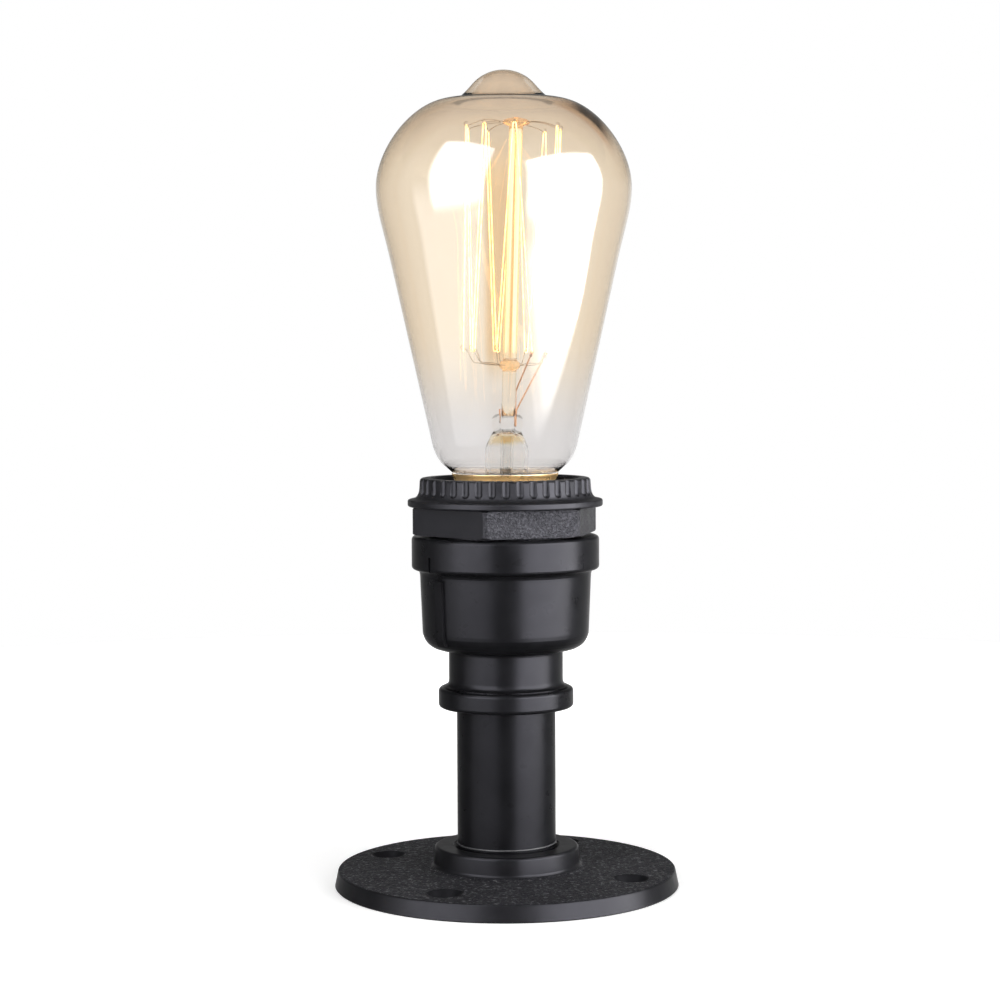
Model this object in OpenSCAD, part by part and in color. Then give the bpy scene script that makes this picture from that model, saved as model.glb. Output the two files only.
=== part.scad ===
// Industrial pendant light made of malleable iron pipe fittings, with a screw-in filament lamp.
// Millimetres. The flange's fixing face is z = 0, and +Z runs along the pipe towards the lamp.

/* [Floor flange] */
// Diameter of the flange at its fixing face
flange_d = 94; // [88:0.2:110]
// Height of the flange's rim
flange_rim_h = 4.7; // [3.6:0.2:6]
// How far the top face rises from the rim to the hub
flange_rise = 0.4; // [0.2:0.1:1]
// Draft of the rim, taken off the radius at the top
flange_draft = 0.8; // [0.2:0.1:1.2]
// Diameter of the hub at its top
hub_d = 39.3; // [37:0.1:44]
// Height of the hub's top above the fixing face
hub_h = 11; // [8:0.2:16]
// Radius of the blend between hub and top face
hub_fillet = 1.3; // [0.5:0.1:2]
// Number of fixing holes
hole_count = 4; // [3:1:6]
// Pitch circle of the fixing holes
hole_pcd = 74; // [68:0.5:78]
// Diameter of a fixing hole
hole_d = 5.2; // [4:0.1:6.2]
// Diameter of a countersink at its mouth
countersink_d = 9.4; // [8:0.1:11]
// Direction of the first fixing hole
hole_turn = 64; // [0:1:89]

/* [Pipe nipple] */
// Outside diameter of the pipe
pipe_d = 26.9; // [25:0.1:28]
// Wall of the pipe
pipe_wall = 2.65; // [2:0.05:3.2]
// Length of the pipe
pipe_l = 60.3; // [50:0.1:300]
// Height of the pipe's lower end above the fixing face
pipe_start = 3; // [1:0.5:5]
// Chamfer on the pipe's ends
pipe_chamfer = 0.9; // [0.4:0.1:1.4]
// Length of pipe inside the reducing coupling
pipe_engage = 14.3; // [11:0.1:16]

/* [Reducing coupling] */
// Diameter of the bead at the small end
bead_d = 36.8; // [34:0.2:40]
// Height of the bead
bead_h = 5.4; // [4:0.1:7]
// Diameter of the lip above the bead
lip_d = 33.8; // [33:0.1:34]
// Height of the curve from the lip in to the neck
flare_h = 2.2; // [1.5:0.1:3]
// Diameter of the neck
neck_d = 31.1; // [30.4:0.1:32.6]
// Height of the neck above the curve
neck_h = 8.4; // [6:0.1:12]
// Diameter of the cup just above its rounded corner
cup_low_d = 45.3; // [45:0.1:46.2]
// Diameter of the cup below the band
cup_high_d = 46.5; // [46.2:0.1:48]
// Radius of the corner at the bottom of the cup
cup_corner = 5; // [3:0.25:5.5]
// Height of the cup from its bottom face to the band
cup_h = 21.7; // [21:0.1:28]
// Diameter of the band round the wide mouth
band_d = 51; // [50:0.1:54]
// Height of the band
band_h = 9.1; // [7:0.1:12]
// Radius on the edges of band and bead
edge_r = 1; // [0.4:0.1:1.4]
// Width of a casting rib on the cup
rib_w = 3; // [2:0.1:4]
// Height of a casting rib above the cup
rib_h = 0.9; // [0.5:0.1:1.3]
// Direction of the first casting rib
rib_turn = 221; // [180:1:240]
// Radius of the hollow between cup and band
band_fillet = 2; // [1:0.1:3]
// Direction of the nick in the band
nick_turn = 217.4; // [180:0.1:240]
// Width of the nick that the parting line leaves in the band
nick_w = 0.9; // [0.6:0.1:1.4]
// Length of the nick up the band
nick_l = 4.2; // [3:0.1:6]
// Depth of the threaded socket in the wide mouth
wide_socket = 23.1; // [23:0.1:24]

/* [Hex bushing] */
// Width of the hexagon across its flats
hex_af = 45.6; // [45:0.2:52]
// Height of the hexagon
hex_h = 7.4; // [6:0.2:12]
// Direction of one corner of the hexagon
hex_turn = 18; // [0:1:59]
// Mean diameter of the threaded stem
bushing_stem_d = 40.4; // [40:0.1:41]
// Diameter of the bore
bushing_bore_d = 34.4; // [34.2:0.1:35.4]
// Open line between hexagon and band
bushing_gap = 0.6; // [0.2:0.1:1.5]

/* [Lamp holder] */
// Outside diameter of the skirt inside the bushing
skirt_d = 33.6; // [33.3:0.1:34]
// Wall of the skirt
skirt_wall = 1; // [0.8:0.05:1.2]
// Depth of the holder below its shoulder
holder_depth = 30.1; // [30:0.1:32]
// Diameter of the threaded collar
collar_d = 39; // [38.2:0.1:39.2]
// Height of the threaded collar above the shoulder
collar_h = 5.6; // [4.6:0.1:6.4]
// Wall of the threaded collar
collar_wall = 1.7; // [1.2:0.05:1.9]
// Thickness of the shoulder
shoulder_t = 1.2; // [1:0.1:1.6]
// Height of the porcelain's rim above the shoulder's seat
rim_h = 3.2; // [2.4:0.1:3.6]
// Wall of the porcelain round the screw shell
porcelain_wall = 1.6; // [1.4:0.05:1.8]
// Thickness of the porcelain floor
floor_t = 4; // [3.6:0.1:4.4]
// Wall of the screw shell
shell_wall = 0.4; // [0.3:0.05:0.5]
// Height of the terminal blocks
block_h = 3.8; // [3.4:0.1:4]
// Diameter of a lead's hole in a terminal block
block_hole_d = 2.5; // [2.3:0.1:2.6]
// Distance of each rivet from the axis
rivet_reach = 11; // [10.8:0.1:11.2]
// Thickness of the contact strip
strip_t = 0.5; // [0.4:0.05:0.6]
// Width of the contact strip
strip_w = 6; // [5:0.5:7]
// Diameter of the hollow entry nipple
entry_d = 9.8; // [9.4:0.1:10]
// Bore of the entry nipple
entry_bore_d = 7.5; // [7.2:0.1:7.8]
// Width of the lock nut across its flats
nut_af = 14; // [13:0.5:15]
// Height of the lock nut
nut_h = 3; // [2.5:0.1:3.4]
// Thickness of the support washer
washer_t = 1.5; // [1.2:0.1:1.8]
// Diameter of the support washer
washer_d = 37; // [36.4:0.1:37.4]

/* [Leads] */
// Diameter of an insulated lead
lead_d = 2.2; // [1.8:0.1:2.3]
// Diameter of a lead's bare end
conductor_d = 1.1; // [0.8:0.1:1.3]
// Length of a bare end at the flange
bare_l = 5; // [3:0.5:6]
// Height of the bare ends' tips above the fixing face
lead_end_z = 5; // [2:0.5:10]

/* [Shade ring] */
// Diameter of the ring's thin flange
ring_flange_d = 53; // [50:0.2:56]
// Thickness of the ring's thin flange
ring_flange_t = 2.1; // [1.6:0.1:2.6]
// Diameter of the fluted wall at its top
ring_wall_d = 46.4; // [45.4:0.1:48]
// Height of the ring
ring_h = 7.7; // [7.4:0.1:9]
// Number of flutes round the ring
flute_count = 40; // [24:1:44]
// Radius of a flute's cutter
flute_r = 1.3; // [1:0.1:1.8]
// Depth of a flute
flute_depth = 0.5; // [0.3:0.05:0.7]
// Direction of the first flute
flute_turn = 0.4; // [0:0.1:8.9]

/* [Lamp] */
// Diameter of the lamp cap over its thread
cap_d = 26.2; // [25.8:0.1:26.4]
// Length of the lamp cap from contact to rim
cap_l = 27; // [26.5:0.1:28]
// Diameter of the cap's flared rim
cap_rim_d = 29.4; // [28.4:0.1:31]
// Wall of the lamp cap
cap_wall = 0.4; // [0.3:0.05:0.5]
// Largest diameter of the glass
glass_d = 69; // [64:0.5:80]
// Height of the glass from the cap's rim to its tip
glass_h = 108.5; // [105:0.5:125]
// Wall of the glass
glass_wall = 0.9; // [0.6:0.05:1.2]
// Diameter of the glass neck inside the cap
glass_neck_d = 23.2; // [22.6:0.1:23.4]
// Diameter of the glass where the bulge above the cap ends
glass_bulge_d = 39.9; // [36:0.1:42]
// Diameter of the glass where its straight flank ends
glass_flank_d = 61.1; // [58:0.1:63]
// Radius of the pip on top of the glass
pip_r = 11.2; // [10.5:0.1:12.4]
// Height of the pip above the shoulder's crest
pip_h = 8; // [7:0.1:9]
// Diameter of the glass stem tube
stem_d = 11.8; // [10.5:0.1:12.6]
// Diameter of the glass rod on the stem
rod_d = 3.8; // [2.6:0.1:4.4]
// Height of the glass press above the cap's rim
press_h = 11.2; // [10:0.2:13]
// Lean of the stem and filament
stem_lean = 1.35; // [0:0.05:1.6]

/* [Filament] */
// Radius of the filament cage at its upper hooks
cage_top_r = 13.1; // [11:0.1:14]
// Radius of the filament cage at its lower hooks
cage_low_r = 12.3; // [10:0.2:13]
// Height of the lower hooks above the cap's rim
cage_low_h = 32.9; // [31:0.1:36]
// Depth of the upper hooks below the glass's tip
cage_top_gap = 14.2; // [13.6:0.1:18]
// Number of upper hooks
hook_count = 9; // [7:1:11]
// Direction of the filament's first end
cage_turn = -39; // [-90:1:90]
// Angle between the filament's two ends
cage_opening = 25; // [15:1:40]
// Thickness of the coiled filament
filament_d = 0.5; // [0.3:0.05:0.7]
// Thickness of a support wire
support_d = 0.5; // [0.3:0.05:0.6]
// Thickness of a lead-in wire
lead_in_d = 0.7; // [0.5:0.05:0.9]

/* [Hidden] */
$fn = 96;

// Clearances: a threaded pair of one body, a piece that turns, and a loose stacking gap
snug = 0.05;
play = 0.3;
slack = 0.5;
// Overlap of a cutter past the face that it cuts
eps = 0.1;
// Steps along one curve of an outline
steps = 8;

// Heights that follow from the stack of fittings
pipe_top = pipe_start + pipe_l;
coupling_z = pipe_top - pipe_engage;
flare_z = coupling_z + bead_h;
neck_z = flare_z + flare_h;
cup_z = neck_z + neck_h;
band_z = cup_z + cup_h;
coupling_top = band_z + band_h;
hex_z = coupling_top + bushing_gap;
seat_z = hex_z + hex_h;
socket_floor = coupling_top - wide_socket;
stem_end = socket_floor + slack;
holder_z = seat_z - holder_depth;
washer_top = min(stem_end, holder_z);
washer_z = washer_top - washer_t;
nut_z = washer_z - nut_h;
entry_z = nut_z - 1.5;

// Lamp holder, measured from its shoulder
skirt_r = skirt_d / 2;
skirt_bore = skirt_r - skirt_wall;
cap_plate_t = 1.5;
cap_cup_h = 6;
joint_z = holder_z + cap_cup_h;
boss_r = entry_d / 2 + 1;
boss_t = 0.6;
entry_top = holder_z + cap_plate_t + boss_t;
porcelain_r = skirt_bore - 0.2;
shell_r = porcelain_r - porcelain_wall - 0.1;
porcelain_seat = seat_z + shoulder_t;
porcelain_top = porcelain_seat + rim_h;
block_top = holder_z + 7;
floor_top = block_top + floor_t;
recess_z = floor_top - 1.8;
shell_top = porcelain_top - 1;
strip_rise = 2;
leaf_root_x = 5.5;
leaf_root_r = strip_t / 2 + 0.05;
block_reach = rivet_reach + 1.5;
block_inner = 6;
block_w = 6;
rivet_r = 1;
rivet_head_r = 1.7;
rivet_head_t = 0.7;
clamp_r = 1.3;
clamp_head_r = 1.9;
clamp_x = 7.9;
wire_hole_z = block_top - 1.4;

// Earth connection under the washer
earth_x = -13;
tag_t = 0.8;
tag_r = 3.4;
earth_screw_r = 2;
earth_head_t = 2;
barrel_r = 1.7;
barrel_bore_r = 1.15;
barrel_z = washer_z - tag_t - 1;

// Lamp, measured from the underside of its tip contact and from its rim
lamp_z = recess_z + strip_t + strip_rise + play;
rim_z = lamp_z + cap_l;
tip_t = 1;
tip_ring_r = 5.2;
cap_waist = 4;
cap_end_h = 3;
thread_start_h = 5.5;
cap_glass_z = lamp_z + tip_t;
cap_end = lamp_z + cap_end_h;
thread_z = lamp_z + thread_start_h;
thread_top = rim_z - 4.7;
crest_z = rim_z + glass_h - pip_h;
tip_z = rim_z + glass_h;
neck_depth = 16;
bulge_h = 9;
neck_end = rim_z - neck_depth;
bulge_z = rim_z + bulge_h;
flank_z = rim_z + glass_h * 0.5224;
wide_z = rim_z + glass_h * 0.71;
press_z = rim_z + press_h;
press_l = 4.3;
press_t = 3.4;
rod_z = press_z + press_l;
low_hook_z = rim_z + cage_low_h;
top_hook_z = tip_z - cage_top_gap;
low_bead_drop = 3.6;
low_bead_z = low_hook_z - low_bead_drop;
low_bead_r = 3.1;
low_bead_h = 3.4;
top_bead_rise = 1.4;
top_bead_z = top_hook_z + top_bead_rise;
top_bead_r = 3.7;
top_bead_h = 2.3;
near_bend_h = 17.2;
far_bend_h = 22.3;
lead_in_bends = [rim_z + near_bend_h, rim_z + far_bend_h];
near_foot_x = 2.9;
far_foot_x = 2.3;
foot_y = 0.7;
foot_h = 1.5;
lead_in_foot = press_z + foot_h;
tube_r = 1.75;
tube_bore_r = 0.95;
tube_tip_l = 3;
tube_gap = 6;

// Routes of the leads, chosen by hand, from each terminal down to the open end of the flange
live_route = [[5.9, 0, -1.4], [4.6, 0, -1.4], [3, 0.4, -1.9], [1.2, 0.8, -2.9], [-0.4, 1.1, -4.2],
              [-1.4, 1.3, -5.8], [-1.8, 1.3, -8], [-1.8, 1.3, -13.5], [-2.3, 1.4, -16], [-3.4, 1.5, -19],
              [-4.2, 1.6, -23]];
neutral_route = [[-5.9, 0, -1.4], [-4.9, 0, -1.4], [-3.8, -0.7, -2.2], [-2.9, -1, -3.2],
                 [-2.3, -1.2, -4.4], [-1.9, -1.3, -6], [-1.8, -1.3, -8], [-1.8, -1.3, -13.5],
                 [-2.3, -1.5, -16], [-3.4, -1.8, -19], [-4.2, -2, -23]];
earth_route = [[0, 7.9, 0], [0, 8.8, 0], [0.6, 9.6, 0], [1.8, 9.9, -0.2], [3.2, 9.5, -0.7],
               [4.6, 8.5, -1.6], [5.7, 7.3, -2.9], [6.4, 6.2, -4.6], [6.8, 5.4, -6.6],
               [6.8, 5.1, -9], [6.8, 5, -12]];
lower_run = [0.75, 0.5, 0.25];

// Point on a circle of radius r at angle a
function polar(r, a) = [r * cos(a), r * sin(a)];
// Points of an arc about [cx, cz]
function arc(cx, cz, r, a0, a1, n = steps) =
    [for (i = [0:n]) [cx, cz] + polar(r, a0 + (a1 - a0) * i / n)];
// Points of a curve with two end points and one control point
function bend(p, q, s, n = steps) =
    [for (i = [0:n]) let (t = i / n) pow(1 - t, 2) * p + 2 * t * (1 - t) * q + t * t * s];
// Points of a curve with two end points and two control points
function sweep(p, q, s, e, n = steps) =
    [for (i = [0:n]) let (t = i / n)
        pow(1 - t, 3) * p + 3 * t * pow(1 - t, 2) * q + 3 * t * t * (1 - t) * s + pow(t, 3) * e];
// Unit vector along v
function unit(v) = v / norm(v);
// Direction of a path at its point i
function heading(path, i) = unit(path[min(i + 1, len(path) - 1)] - path[max(i - 1, 0)]);
// An outline moved sideways by a wall, towards the axis
function inward(path, wall) =
    [for (i = [0:len(path) - 1]) let (d = heading(path, i), p = path[i] + wall * [-d[1], d[0]])
        [max(p[0], 0), p[1]]];
// An outline in the opposite order
function backwards(path) = [for (i = [len(path) - 1:-1:0]) path[i]];

// A body of revolution about the z axis
module turned(outline) {
    rotate_extrude() polygon(outline);
}

// A tube or bar with a true bore, between two heights
module pipe(r, bore, z0, z1) {
    difference() {
        translate([0, 0, z0]) cylinder(r = r, h = z1 - z0);
        translate([0, 0, z0 - eps]) cylinder(r = bore, h = z1 - z0 + 2 * eps);
    }
}

// A straight round bar between two points
module bar(p, q, r) {
    v = q - p;
    translate(p)
        rotate([0, acos(v[2] / norm(v)), atan2(v[1], v[0])])
            cylinder(r = r, h = norm(v), $fn = 24);
}

// One unbroken round bar along a path, with side vectors that never lie along it
module strand(path, sides, r, around) {
    last = len(path) - 1;
    points = [for (i = [0:last], k = [0:around - 1])
        let (d = heading(path, i), b = unit(cross(d, sides[i])), n = cross(b, d), a = 360 * k / around)
            path[i] + r * (cos(a) * n + sin(a) * b)];
    skin = [for (i = [0:last - 1], k = [0:around - 1])
        let (a = i * around + k, b = i * around + (k + 1) % around)
            each [[a, a + around, b], [b, a + around, b + around]]];
    ends = [[for (k = [0:around - 1]) k], [for (k = [around - 1:-1:0]) last * around + k]];
    polyhedron(points = points, faces = concat(skin, ends), convexity = 6);
}

// Malleable iron flange with a threaded hub and countersunk holes
module floor_flange() {
    rim_r = flange_d / 2;
    top_r = rim_r - flange_draft;
    hub_r = hub_d / 2;
    face_z = flange_rim_h + flange_rise;
    round = 0.6;
    sink = countersink_d / 2 - hole_d / 2;
    color("#2b2b2d")
    difference() {
        turned(concat(
            [[0, 0], [rim_r - 0.3, 0], [rim_r, 0.3]],
            arc(top_r - round, flange_rim_h - round, round, 0, 80, 4),
            bend([hub_r + 2 * hub_fillet, face_z], [hub_r + 0.5, face_z + 0.1],
                 [hub_r + 0.25, face_z + hub_fillet]),
            arc(hub_r - 0.8, hub_h - 0.8, 0.8, 0, 90, 4),
            [[0, hub_h]]));
        translate([0, 0, -eps]) cylinder(d = pipe_d + 2 * snug, h = hub_h + 2 * eps);
        translate([0, 0, hub_h - 1.1]) cylinder(r1 = pipe_d / 2, r2 = pipe_d / 2 + 1.3, h = 1.2);
        translate([0, 0, -eps]) cylinder(r1 = pipe_d / 2 + 1.3, r2 = pipe_d / 2, h = 1.3);
        for (i = [0:hole_count - 1])
            rotate(hole_turn + 360 * i / hole_count) translate([hole_pcd / 2, 0, 0]) {
                translate([0, 0, -eps]) cylinder(d = hole_d, h = face_z + 1);
                translate([0, 0, flange_rim_h - sink])
                    cylinder(r1 = hole_d / 2, r2 = countersink_d / 2 + 0.8, h = sink + 0.8);
            }
    }
}

// Steel pipe between flange and reducing coupling
module pipe_nipple() {
    r = pipe_d / 2;
    bore = r - pipe_wall;
    color("#242426")
    difference() {
        turned([[0, pipe_start], [r - pipe_chamfer, pipe_start], [r, pipe_start + pipe_chamfer],
                [r, pipe_top - pipe_chamfer], [r - pipe_chamfer, pipe_top], [0, pipe_top]]);
        translate([0, 0, pipe_start - eps]) cylinder(r = bore, h = pipe_l + 2 * eps);
    }
}

// Half outline of the cup, wider by the given amount
function cup_outline(proud) = concat(
    arc(cup_low_d / 2 - cup_corner, cup_z + cup_corner, cup_corner + proud, -90, 0),
    [[cup_high_d / 2 + proud, band_z - band_fillet]]);

// Reducing coupling with a beaded small end, a rounded cup and a banded mouth
module reducing_coupling() {
    bead_r = bead_d / 2;
    neck_r = neck_d / 2;
    band_r = band_d / 2;
    cup_r = cup_high_d / 2;
    groove_z = flare_z + 0.35;
    socket_r = bushing_stem_d / 2 + snug;
    throat_r = pipe_d / 2 - 1.35;
    hollow_r = socket_r - 1.4;
    nose_z = cup_z + 1;
    slope_h = 3.2;
    color("#2a2a2c")
    difference() {
        union() {
            turned(concat(
                [[0, coupling_z]],
                arc(bead_r - edge_r, coupling_z + edge_r, edge_r, -90, 0, 4),
                arc(bead_r - edge_r, flare_z - edge_r, edge_r, 0, 90, 4),
                [[lip_d / 2 - 0.5, flare_z], [lip_d / 2 - 0.5, groove_z - 0.1], [lip_d / 2, groove_z]],
                bend([lip_d / 2, groove_z], [neck_r, flare_z + 0.7], [neck_r, neck_z]),
                bend([neck_r, cup_z - 1], [neck_r, cup_z], [neck_r + 1, cup_z], 4),
                cup_outline(0),
                bend([cup_r, band_z - band_fillet], [cup_r, band_z - 0.1], [cup_r + 1.1, band_z], 5),
                arc(band_r - edge_r, band_z + edge_r, edge_r, -90, 0, 4),
                arc(band_r - edge_r, coupling_top - edge_r, edge_r, 0, 90, 4),
                [[0, coupling_top]]));
            intersection() {
                turned(concat([[0, cup_z]], cup_outline(rib_h), [[0, band_z - band_fillet]]));
                for (side = [0, 180])
                    rotate(rib_turn + side)
                        translate([socket_r + 0.6, -rib_w / 2, cup_z + 2])
                            cube([band_d / 2 - socket_r, rib_w, cup_h - 2 - band_fillet]);
            }
        }
        translate([0, 0, coupling_z - eps])
            cylinder(d = pipe_d + 2 * snug, h = pipe_engage + slack + eps);
        translate([0, 0, coupling_z - eps]) cylinder(r1 = pipe_d / 2 + 0.9, r2 = pipe_d / 2, h = 0.9);
        translate([0, 0, coupling_z + pipe_engage]) cylinder(r = throat_r, h = nose_z - pipe_top + eps);
        translate([0, 0, nose_z]) cylinder(r1 = throat_r, r2 = hollow_r, h = slope_h + 0.001);
        translate([0, 0, nose_z + slope_h])
            cylinder(r = hollow_r, h = socket_floor - nose_z - slope_h + slack);
        translate([0, 0, socket_floor]) cylinder(r = socket_r, h = wide_socket + eps);
        translate([0, 0, coupling_top - 0.8]) cylinder(r1 = socket_r, r2 = socket_r + 0.9, h = 0.9);
        rotate(nick_turn) translate([band_r - 0.6, -nick_w / 2, band_z - eps])
            cube([2, nick_w, nick_l + eps]);
    }
}

// Hexagon bushing with a plain-bored threaded stem
module hex_bushing() {
    corner_r = hex_af / sqrt(3);
    clip_r = corner_r - 0.3;
    edge = 0.7;
    color("#303032")
    difference() {
        union() {
            intersection() {
                rotate(hex_turn) translate([0, 0, hex_z]) cylinder(r = corner_r, h = hex_h, $fn = 6);
                turned([[0, hex_z], [clip_r - edge, hex_z], [clip_r, hex_z + edge / 2],
                        [clip_r, seat_z - edge / 2], [clip_r - edge, seat_z], [0, seat_z]]);
            }
            turned([[0, stem_end], [bushing_stem_d / 2 - 1.2, stem_end],
                    [bushing_stem_d / 2, stem_end + 1.2], [bushing_stem_d / 2, hex_z + eps],
                    [0, hex_z + eps]]);
        }
        translate([0, 0, stem_end - eps]) cylinder(d = bushing_bore_d, h = seat_z - stem_end + 2 * eps);
    }
}

// Metal skirt of the lamp holder: its collar carries the shade ring
module holder_skirt() {
    collar_r = collar_d / 2;
    rabbet = skirt_wall / 2;
    color("#1d1d1f")
    turned([[skirt_bore + rabbet, joint_z], [skirt_r, joint_z], [skirt_r, seat_z],
            [collar_r, seat_z], [collar_r, seat_z + collar_h - 0.5], [collar_r - 0.5, seat_z + collar_h],
            [collar_r - collar_wall, seat_z + collar_h], [collar_r - collar_wall, porcelain_seat],
            [skirt_bore, porcelain_seat], [skirt_bore, joint_z + 2], [skirt_bore + rabbet, joint_z + 2]]);
}

// Cup that closes the holder below and takes the entry nipple
module holder_cap() {
    round = 1.2;
    rabbet = skirt_wall / 2;
    color("#1d1d1f")
    difference() {
        turned(concat(
            [[0, holder_z], [skirt_r - round, holder_z]],
            arc(skirt_r - round, holder_z + round, round, -90, 0, 4),
            [[skirt_r, joint_z], [skirt_bore + rabbet - snug, joint_z],
             [skirt_bore + rabbet - snug, joint_z + 1.9], [skirt_bore, joint_z + 1.9],
             [skirt_bore, holder_z + cap_plate_t], [boss_r, holder_z + cap_plate_t],
             [boss_r, entry_top], [0, entry_top]]));
        translate([0, 0, holder_z - eps])
            cylinder(d = entry_d + 2 * snug, h = entry_top - holder_z + 2 * eps);
    }
}

// Porcelain that carries the screw shell and the contacts
module porcelain_insert() {
    bore = porcelain_r - porcelain_wall;
    flange_r = collar_d / 2 - collar_wall - 0.2;
    color("#eeeae0")
    difference() {
        turned([[0, block_top], [porcelain_r - 0.6, block_top], [porcelain_r, block_top + 0.6],
                [porcelain_r, porcelain_seat], [flange_r, porcelain_seat],
                [flange_r, porcelain_top - 0.5], [flange_r - 0.5, porcelain_top],
                [bore + 0.4, porcelain_top], [bore, porcelain_top - 0.4], [bore, floor_top],
                [0, floor_top]]);
        translate([-5, -strip_w / 2 - 0.4, recess_z])
            cube([block_reach + 5.3, strip_w + 0.8, floor_top - recess_z + eps]);
        for (x = [-rivet_reach, rivet_reach])
            translate([x, 0, block_top - eps]) cylinder(r = rivet_r + snug, h = floor_t + 2 * eps);
    }
}

// Threaded brass shell, with the tab that its rivet holds
module screw_shell() {
    r = shell_r;
    color("#b9a36a")
    union() {
        turned([[r - shell_wall, floor_top], [r, floor_top], [r, shell_top - 0.5],
                [r - 0.1, shell_top], [r - shell_wall, shell_top]]);
        difference() {
            intersection() {
                translate([0, 0, floor_top]) cylinder(r = r - shell_wall / 2, h = shell_wall);
                translate([-r, -block_w / 2, floor_top]) cube([r - 8.8, block_w, shell_wall]);
            }
            translate([-rivet_reach, 0, floor_top - eps]) cylinder(r = rivet_r + snug, h = 1);
        }
    }
}

// A rivet through the porcelain into a terminal block
module rivet(x, head_z) {
    foot_z = block_top - 2;
    translate([x, 0, foot_z]) cylinder(r = rivet_r, h = head_z - foot_z + eps);
    translate([x, 0, head_z]) cylinder(r = rivet_head_r, h = rivet_head_t);
}

// Rivet that joins the shell's tab to the neutral terminal
module shell_rivet() {
    color("#c9ccd0") rivet(-rivet_reach, floor_top + shell_wall);
}

// Riveted end of the centre contact strip
module contact_foot() {
    root_x = leaf_root_x + leaf_root_r + snug;
    end_x = block_reach - 0.1;
    color("#c8a253")
    difference() {
        translate([root_x, -strip_w / 2, recess_z]) cube([end_x - root_x, strip_w, strip_t]);
        translate([rivet_reach, 0, recess_z - eps]) cylinder(r = rivet_r + snug, h = strip_t + 2 * eps);
    }
}

// Free end of the centre contact strip, bent up under the lamp, with a rolled root
module contact_leaf() {
    top = strip_rise;
    line = [[leaf_root_x, 0.05], [4.3, 0.1], [2.4, top - 0.15], [1.4, top], [-2.6, top],
            [-3.6, top - 0.2], [-4.3, top - 0.8]];
    color("#c8a253")
    translate([0, strip_w / 2, recess_z])
        rotate([90, 0, 0])
            union() {
                linear_extrude(strip_w)
                    polygon(concat(line, backwards([for (p = line) p + [0, strip_t]])));
                translate([leaf_root_x, leaf_root_r, 0]) cylinder(r = leaf_root_r, h = strip_w);
            }
}

// Rivet that joins the contact strip to the live terminal
module contact_rivet() {
    color("#c9ccd0") rivet(rivet_reach, recess_z + strip_t);
}

// Live and neutral terminal blocks under the porcelain floor
module terminal_blocks() {
    low = block_top - block_h;
    color("#c2a45c")
    for (side = [0, 180])
        rotate(side)
            difference() {
                translate([block_inner, -block_w / 2, low])
                    cube([block_reach - block_inner, block_w, block_h]);
                translate([block_inner - eps, 0, wire_hole_z])
                    rotate([0, 90, 0]) cylinder(d = block_hole_d, h = 3.6);
                translate([clamp_x, 0, low - eps]) cylinder(r = clamp_r + snug, h = block_h - 2.5);
                translate([rivet_reach, 0, block_top - 2.2]) cylinder(r = rivet_r + snug, h = 3);
            }
}

// Clamping screws of the two terminals
module terminal_screws() {
    low = block_top - block_h;
    color("#9fa2a6")
    for (side = [0, 180])
        rotate(side)
            difference() {
                union() {
                    translate([clamp_x, 0, low - 1]) cylinder(r = clamp_head_r, h = 1);
                    translate([clamp_x, 0, low - eps]) cylinder(r = clamp_r, h = block_h - 2.8);
                }
                translate([clamp_x - 3, -0.3, low - 1 - eps]) cube([6, 0.6, 0.6]);
            }
}

// Hollow threaded nipple through which the leads enter the holder
module entry_nipple() {
    color("#8d8f93") pipe(entry_d / 2, entry_bore_d / 2, entry_z, entry_top);
}

// Washer drawn up against the bushing's lower end
module support_washer() {
    color("#8d8f93")
    difference() {
        pipe(washer_d / 2, entry_d / 2 + 0.2, washer_z, washer_top);
        translate([earth_x, 0, washer_z - eps]) cylinder(r = earth_screw_r + snug, h = washer_t + 1);
    }
}

// Nut that draws the holder down on the bushing
module lock_nut() {
    color("#9a9ca0")
    difference() {
        translate([0, 0, nut_z]) cylinder(r = nut_af / sqrt(3), h = nut_h, $fn = 6);
        translate([0, 0, nut_z - eps]) cylinder(r = entry_d / 2 + snug, h = nut_h + 2 * eps);
    }
}

// Crimped tag that ties the metalwork to the earth lead
module earth_tag() {
    low = washer_z - tag_t;
    color("#b7babd")
    difference() {
        union() {
            translate([earth_x, 0, low]) cylinder(r = tag_r, h = tag_t);
            translate([earth_x - 1.5, 0, low]) cube([3, 6, tag_t]);
            translate([earth_x, 4, barrel_z])
                rotate([-90, 0, 0]) cylinder(r = barrel_r, h = 3.8);
        }
        translate([earth_x, 0, low - eps]) cylinder(r = earth_screw_r + 0.2, h = tag_t + 2 * eps);
        translate([earth_x, 4 - eps, barrel_z])
            rotate([-90, 0, 0]) cylinder(r = barrel_bore_r, h = 4);
    }
}

// Screw of the earth tag
module earth_screw() {
    low = washer_z - tag_t;
    color("#c9b36a")
    difference() {
        union() {
            translate([earth_x, 0, low]) cylinder(r = earth_screw_r, h = tag_t + washer_t);
            translate([earth_x, 0, low - earth_head_t]) cylinder(r = tag_r - 0.2, h = earth_head_t);
        }
        translate([earth_x - 4, -0.5, low - earth_head_t - eps]) cube([8, 1, 1]);
    }
}

// Whole route of a lead from its terminal to the open end of the flange
function whole_route(route, start) =
    let (upper = [for (p = route) start + p], turn = upper[len(upper) - 1],
         low = lead_end_z + bare_l, drop = turn[2] - low)
        concat(upper, [for (f = lower_run) [turn[0], turn[1], low + f * drop]],
               [[turn[0], turn[1], low]]);

live_path = whole_route(live_route, [0, 0, block_top]);
neutral_path = whole_route(neutral_route, [0, 0, block_top]);
earth_path = whole_route(earth_route, [earth_x, 0, barrel_z]);

// An insulated lead
module lead(path, side) {
    strand(path, [for (p = path) side], lead_d / 2, 8);
}

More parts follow.
